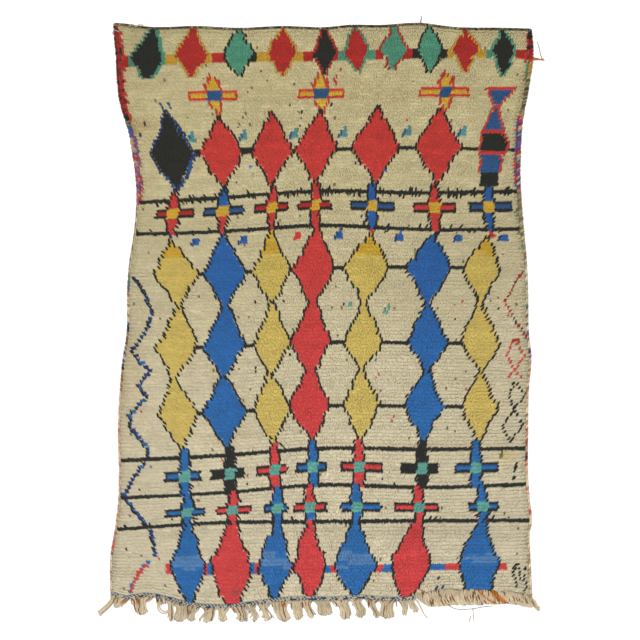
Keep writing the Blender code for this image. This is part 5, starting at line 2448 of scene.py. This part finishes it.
LOOSE_THREADS = (
    Thread(RUST, 2.6, ((668, 1716, 6), (682, 1718, 6), (700, 1719, 5), (720, 1717, 3))),
    Thread(BROWN, 1.8, ((668, 1722, 7), (690, 1723, 6), (706, 1720, 4), (716, 1723, 2))),
    Thread(BROWN, 1.4, ((709, 1722, 4), (704, 1742, 2.2), (700, 1760, 2), (694, 1779, 2))),
    Thread(WARP, 0.9, ((664, 326, 6), (672, 330, 4), (684, 331, 1.5))),
    Thread(BROWN, 1.9, ((318, 1828, 8), (322, 1842, 7), (324, 1852, 4), (323, 1860, 2))),
    Thread(WARP, 0.6, ((672, -8, 5), (684, -12, 3), (700, -6, 2), (716, 1, 1))),
    Thread(BROWN, 1.0, ((488, -34, 5), (490, -50, 3), (491, -66, 1.5), (494, -84, 1.2))),
    Thread(BROWN, 1.3, ((481, -60, 1.5), (480, -68, 1.5), (479, -76, 1.5), (480, -83, 1.5))),
    Thread(BROWN, 1.1, ((404, -20, 6), (424, -34, 4), (480, -38, 3), (530, -30, 3), (560, -28, 3))),
    Thread(WARP, 2.2, ((306, -6, 6), (317, -22, 5), (326, -40, 4), (334, -56, 3), (347, -69, 2.5))),
    Thread(WARP, 2.4, ((-512, -10, 5), (-520, -32, 4), (-508, -50, 3), (-488, -50, 3), (-478, -38, 4))),
    Thread(WARP, 2.4, ((-506, -12, 6), (-513, -30, 5), (-502, -44, 4), (-486, -43, 4), (-476, -30, 5))),
    Thread(RED, 1.2, ((303, 28, 12.6), (314, 27, 12.8), (326, 22, 12.8), (337, 20, 12.4))),
    Thread(CREAM, 1.6, ((-640, 1806, 8), (-656, 1812, 8), (-664, 1803, 6), (-650, 1794, 7))),
    Thread(CREAM, 2, ((-612, 1822, 8), (-600, 1832, 10), (-588, 1824, 9), (-574, 1832, 10), (-560, 1822, 8))),
)


@dataclass
class LooseThreads:
    """The single yarn ends that have worked loose along the edges."""

    steps: int = 16

    def build(self) -> Object:
        """Each end is a thin round strand on a smooth curve through its points.

        Returns:
            The piece.
        """
        rng = np.random.default_rng(71)
        yarns, radii, tables = zip(*LOOSE_THREADS)
        shift = np.array([CENTRE_LINE_X, FOOT_LINE_Y, 0.0])
        paths = np.array([curve_through(np.array(points) * MM + shift, self.steps) for points in tables])
        radii = np.array(radii)[:, None] * MM * np.linspace(1, 0.8, self.steps)
        surface = spun(paths, radii, yarns, 0.5, rng.uniform(0.3, 0.7, len(yarns)), sides=5)
        finish = WoolFinish("loose_yarn", root_shade=1.0, tone_spread=0.3, plies=2.0, turns=10.0)
        return dress(surface, "loose_threads", Slot.WARP, None, finish.material())


# ---------------------------------------------------------------------------------------------------------
# The studio


@dataclass
class Studio:
    """A plain pale floor, soft light from above, and a camera straight over the rug."""

    view_wide: float = 2.048
    aim: tuple[float, float] = (0.00175, 0.0097)
    lens: float = 100.0
    sensor: float = 36.0
    floor_half: float = 8.0
    floor_under: float = 0.0005
    sky: float = 0.8

    def build(self) -> None:
        """The whole set."""
        self._floor()
        self._lights()
        self._camera()
        bpy.context.scene.view_settings.view_transform = "Standard"

    def _floor(self) -> None:
        """A matt floor whose tone varies a little."""
        half = self.floor_half
        mesh = bpy.data.meshes.new("floor")
        corners = [(-half, -half, 0), (half, -half, 0), (half, half, 0), (-half, half, 0)]
        mesh.from_pydata(corners, [], [(0, 1, 2, 3)])
        floor = bpy.data.objects.new("floor", mesh)
        floor.data.transform(Matrix.Translation((0, 0, -self.floor_under)))
        material, wire, shader = new_material("studio_floor", 0.9, 0.1)
        noise = wire.node("TexNoise", Scale=3.0, Vector=wire.node("TexCoord").outputs["Object"])
        wire.link(wire.remap(noise.outputs["Fac"], 0.3, 0.7, 0.90, 0.93), shader["Base Color"])
        mesh.materials.append(material)
        bpy.context.scene.collection.objects.link(floor)

    def _lights(self) -> None:
        """A wide softbox over the foot of the rug, a weaker one over its head, and a pale sky."""
        for name, place, size, power in (
            ("key_softbox", (-1.1, 1.0, 3.4), 3.2, 110.0),
            ("fill_softbox", (1.4, -1.2, 3.8), 3.6, 70.0),
        ):
            light = bpy.data.lights.new(name, "AREA")
            light.shape = "SQUARE"
            light.size = size
            light.energy = power
            lamp = bpy.data.objects.new(name, light)
            lamp.location = place
            lamp.rotation_euler = (-Vector(place)).to_track_quat("-Z", "Y").to_euler()
            bpy.context.scene.collection.objects.link(lamp)
        world = bpy.data.worlds.new("pale_sky")
        world.use_nodes = True
        background = world.node_tree.nodes["Background"].inputs
        background["Color"].default_value = WHITE
        background["Strength"].default_value = self.sky
        bpy.context.scene.world = world

    def _camera(self) -> None:
        """Straight above, with the rug's head at the top of the view."""
        data = bpy.data.cameras.new("camera")
        data.lens = self.lens
        data.sensor_width = self.sensor
        data.clip_end = 60.0
        camera = bpy.data.objects.new("camera", data)
        camera.location = (*self.aim, self.view_wide * self.lens / self.sensor)
        bpy.context.scene.collection.objects.link(camera)
        bpy.context.scene.camera = camera


def main() -> None:
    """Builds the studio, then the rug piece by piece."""
    logging.basicConfig(level=logging.INFO, format="%(name)s %(message)s", stream=sys.stdout)
    Studio().build()
    plan = RugPlan()
    loom = Loom(plan)
    chart = ties(loom)
    wool = WoolFinish("pile_wool").material()
    ground = GroundWeave(loom, chart).build(wool)
    pieces = Pile(loom, chart).build(wool)
    pieces.append(Selvedge(plan, "left_selvedge_stitches", "left_selvedge", -1, LEFT_RUNS, seed=21).build())
    pieces.append(Selvedge(plan, "right_selvedge_stitches", "right_selvedge", 1, RIGHT_RUNS, seed=22).build())
    pieces.append(HeadCord(plan).build())
    pieces.append(FootTwining(plan).build())
    pieces.append(WarpFringe(plan).build())
    pieces.append(CornerPlait(plan).build())
    pieces.append(LooseThreads().build())


if __name__ == "__main__":
    main()
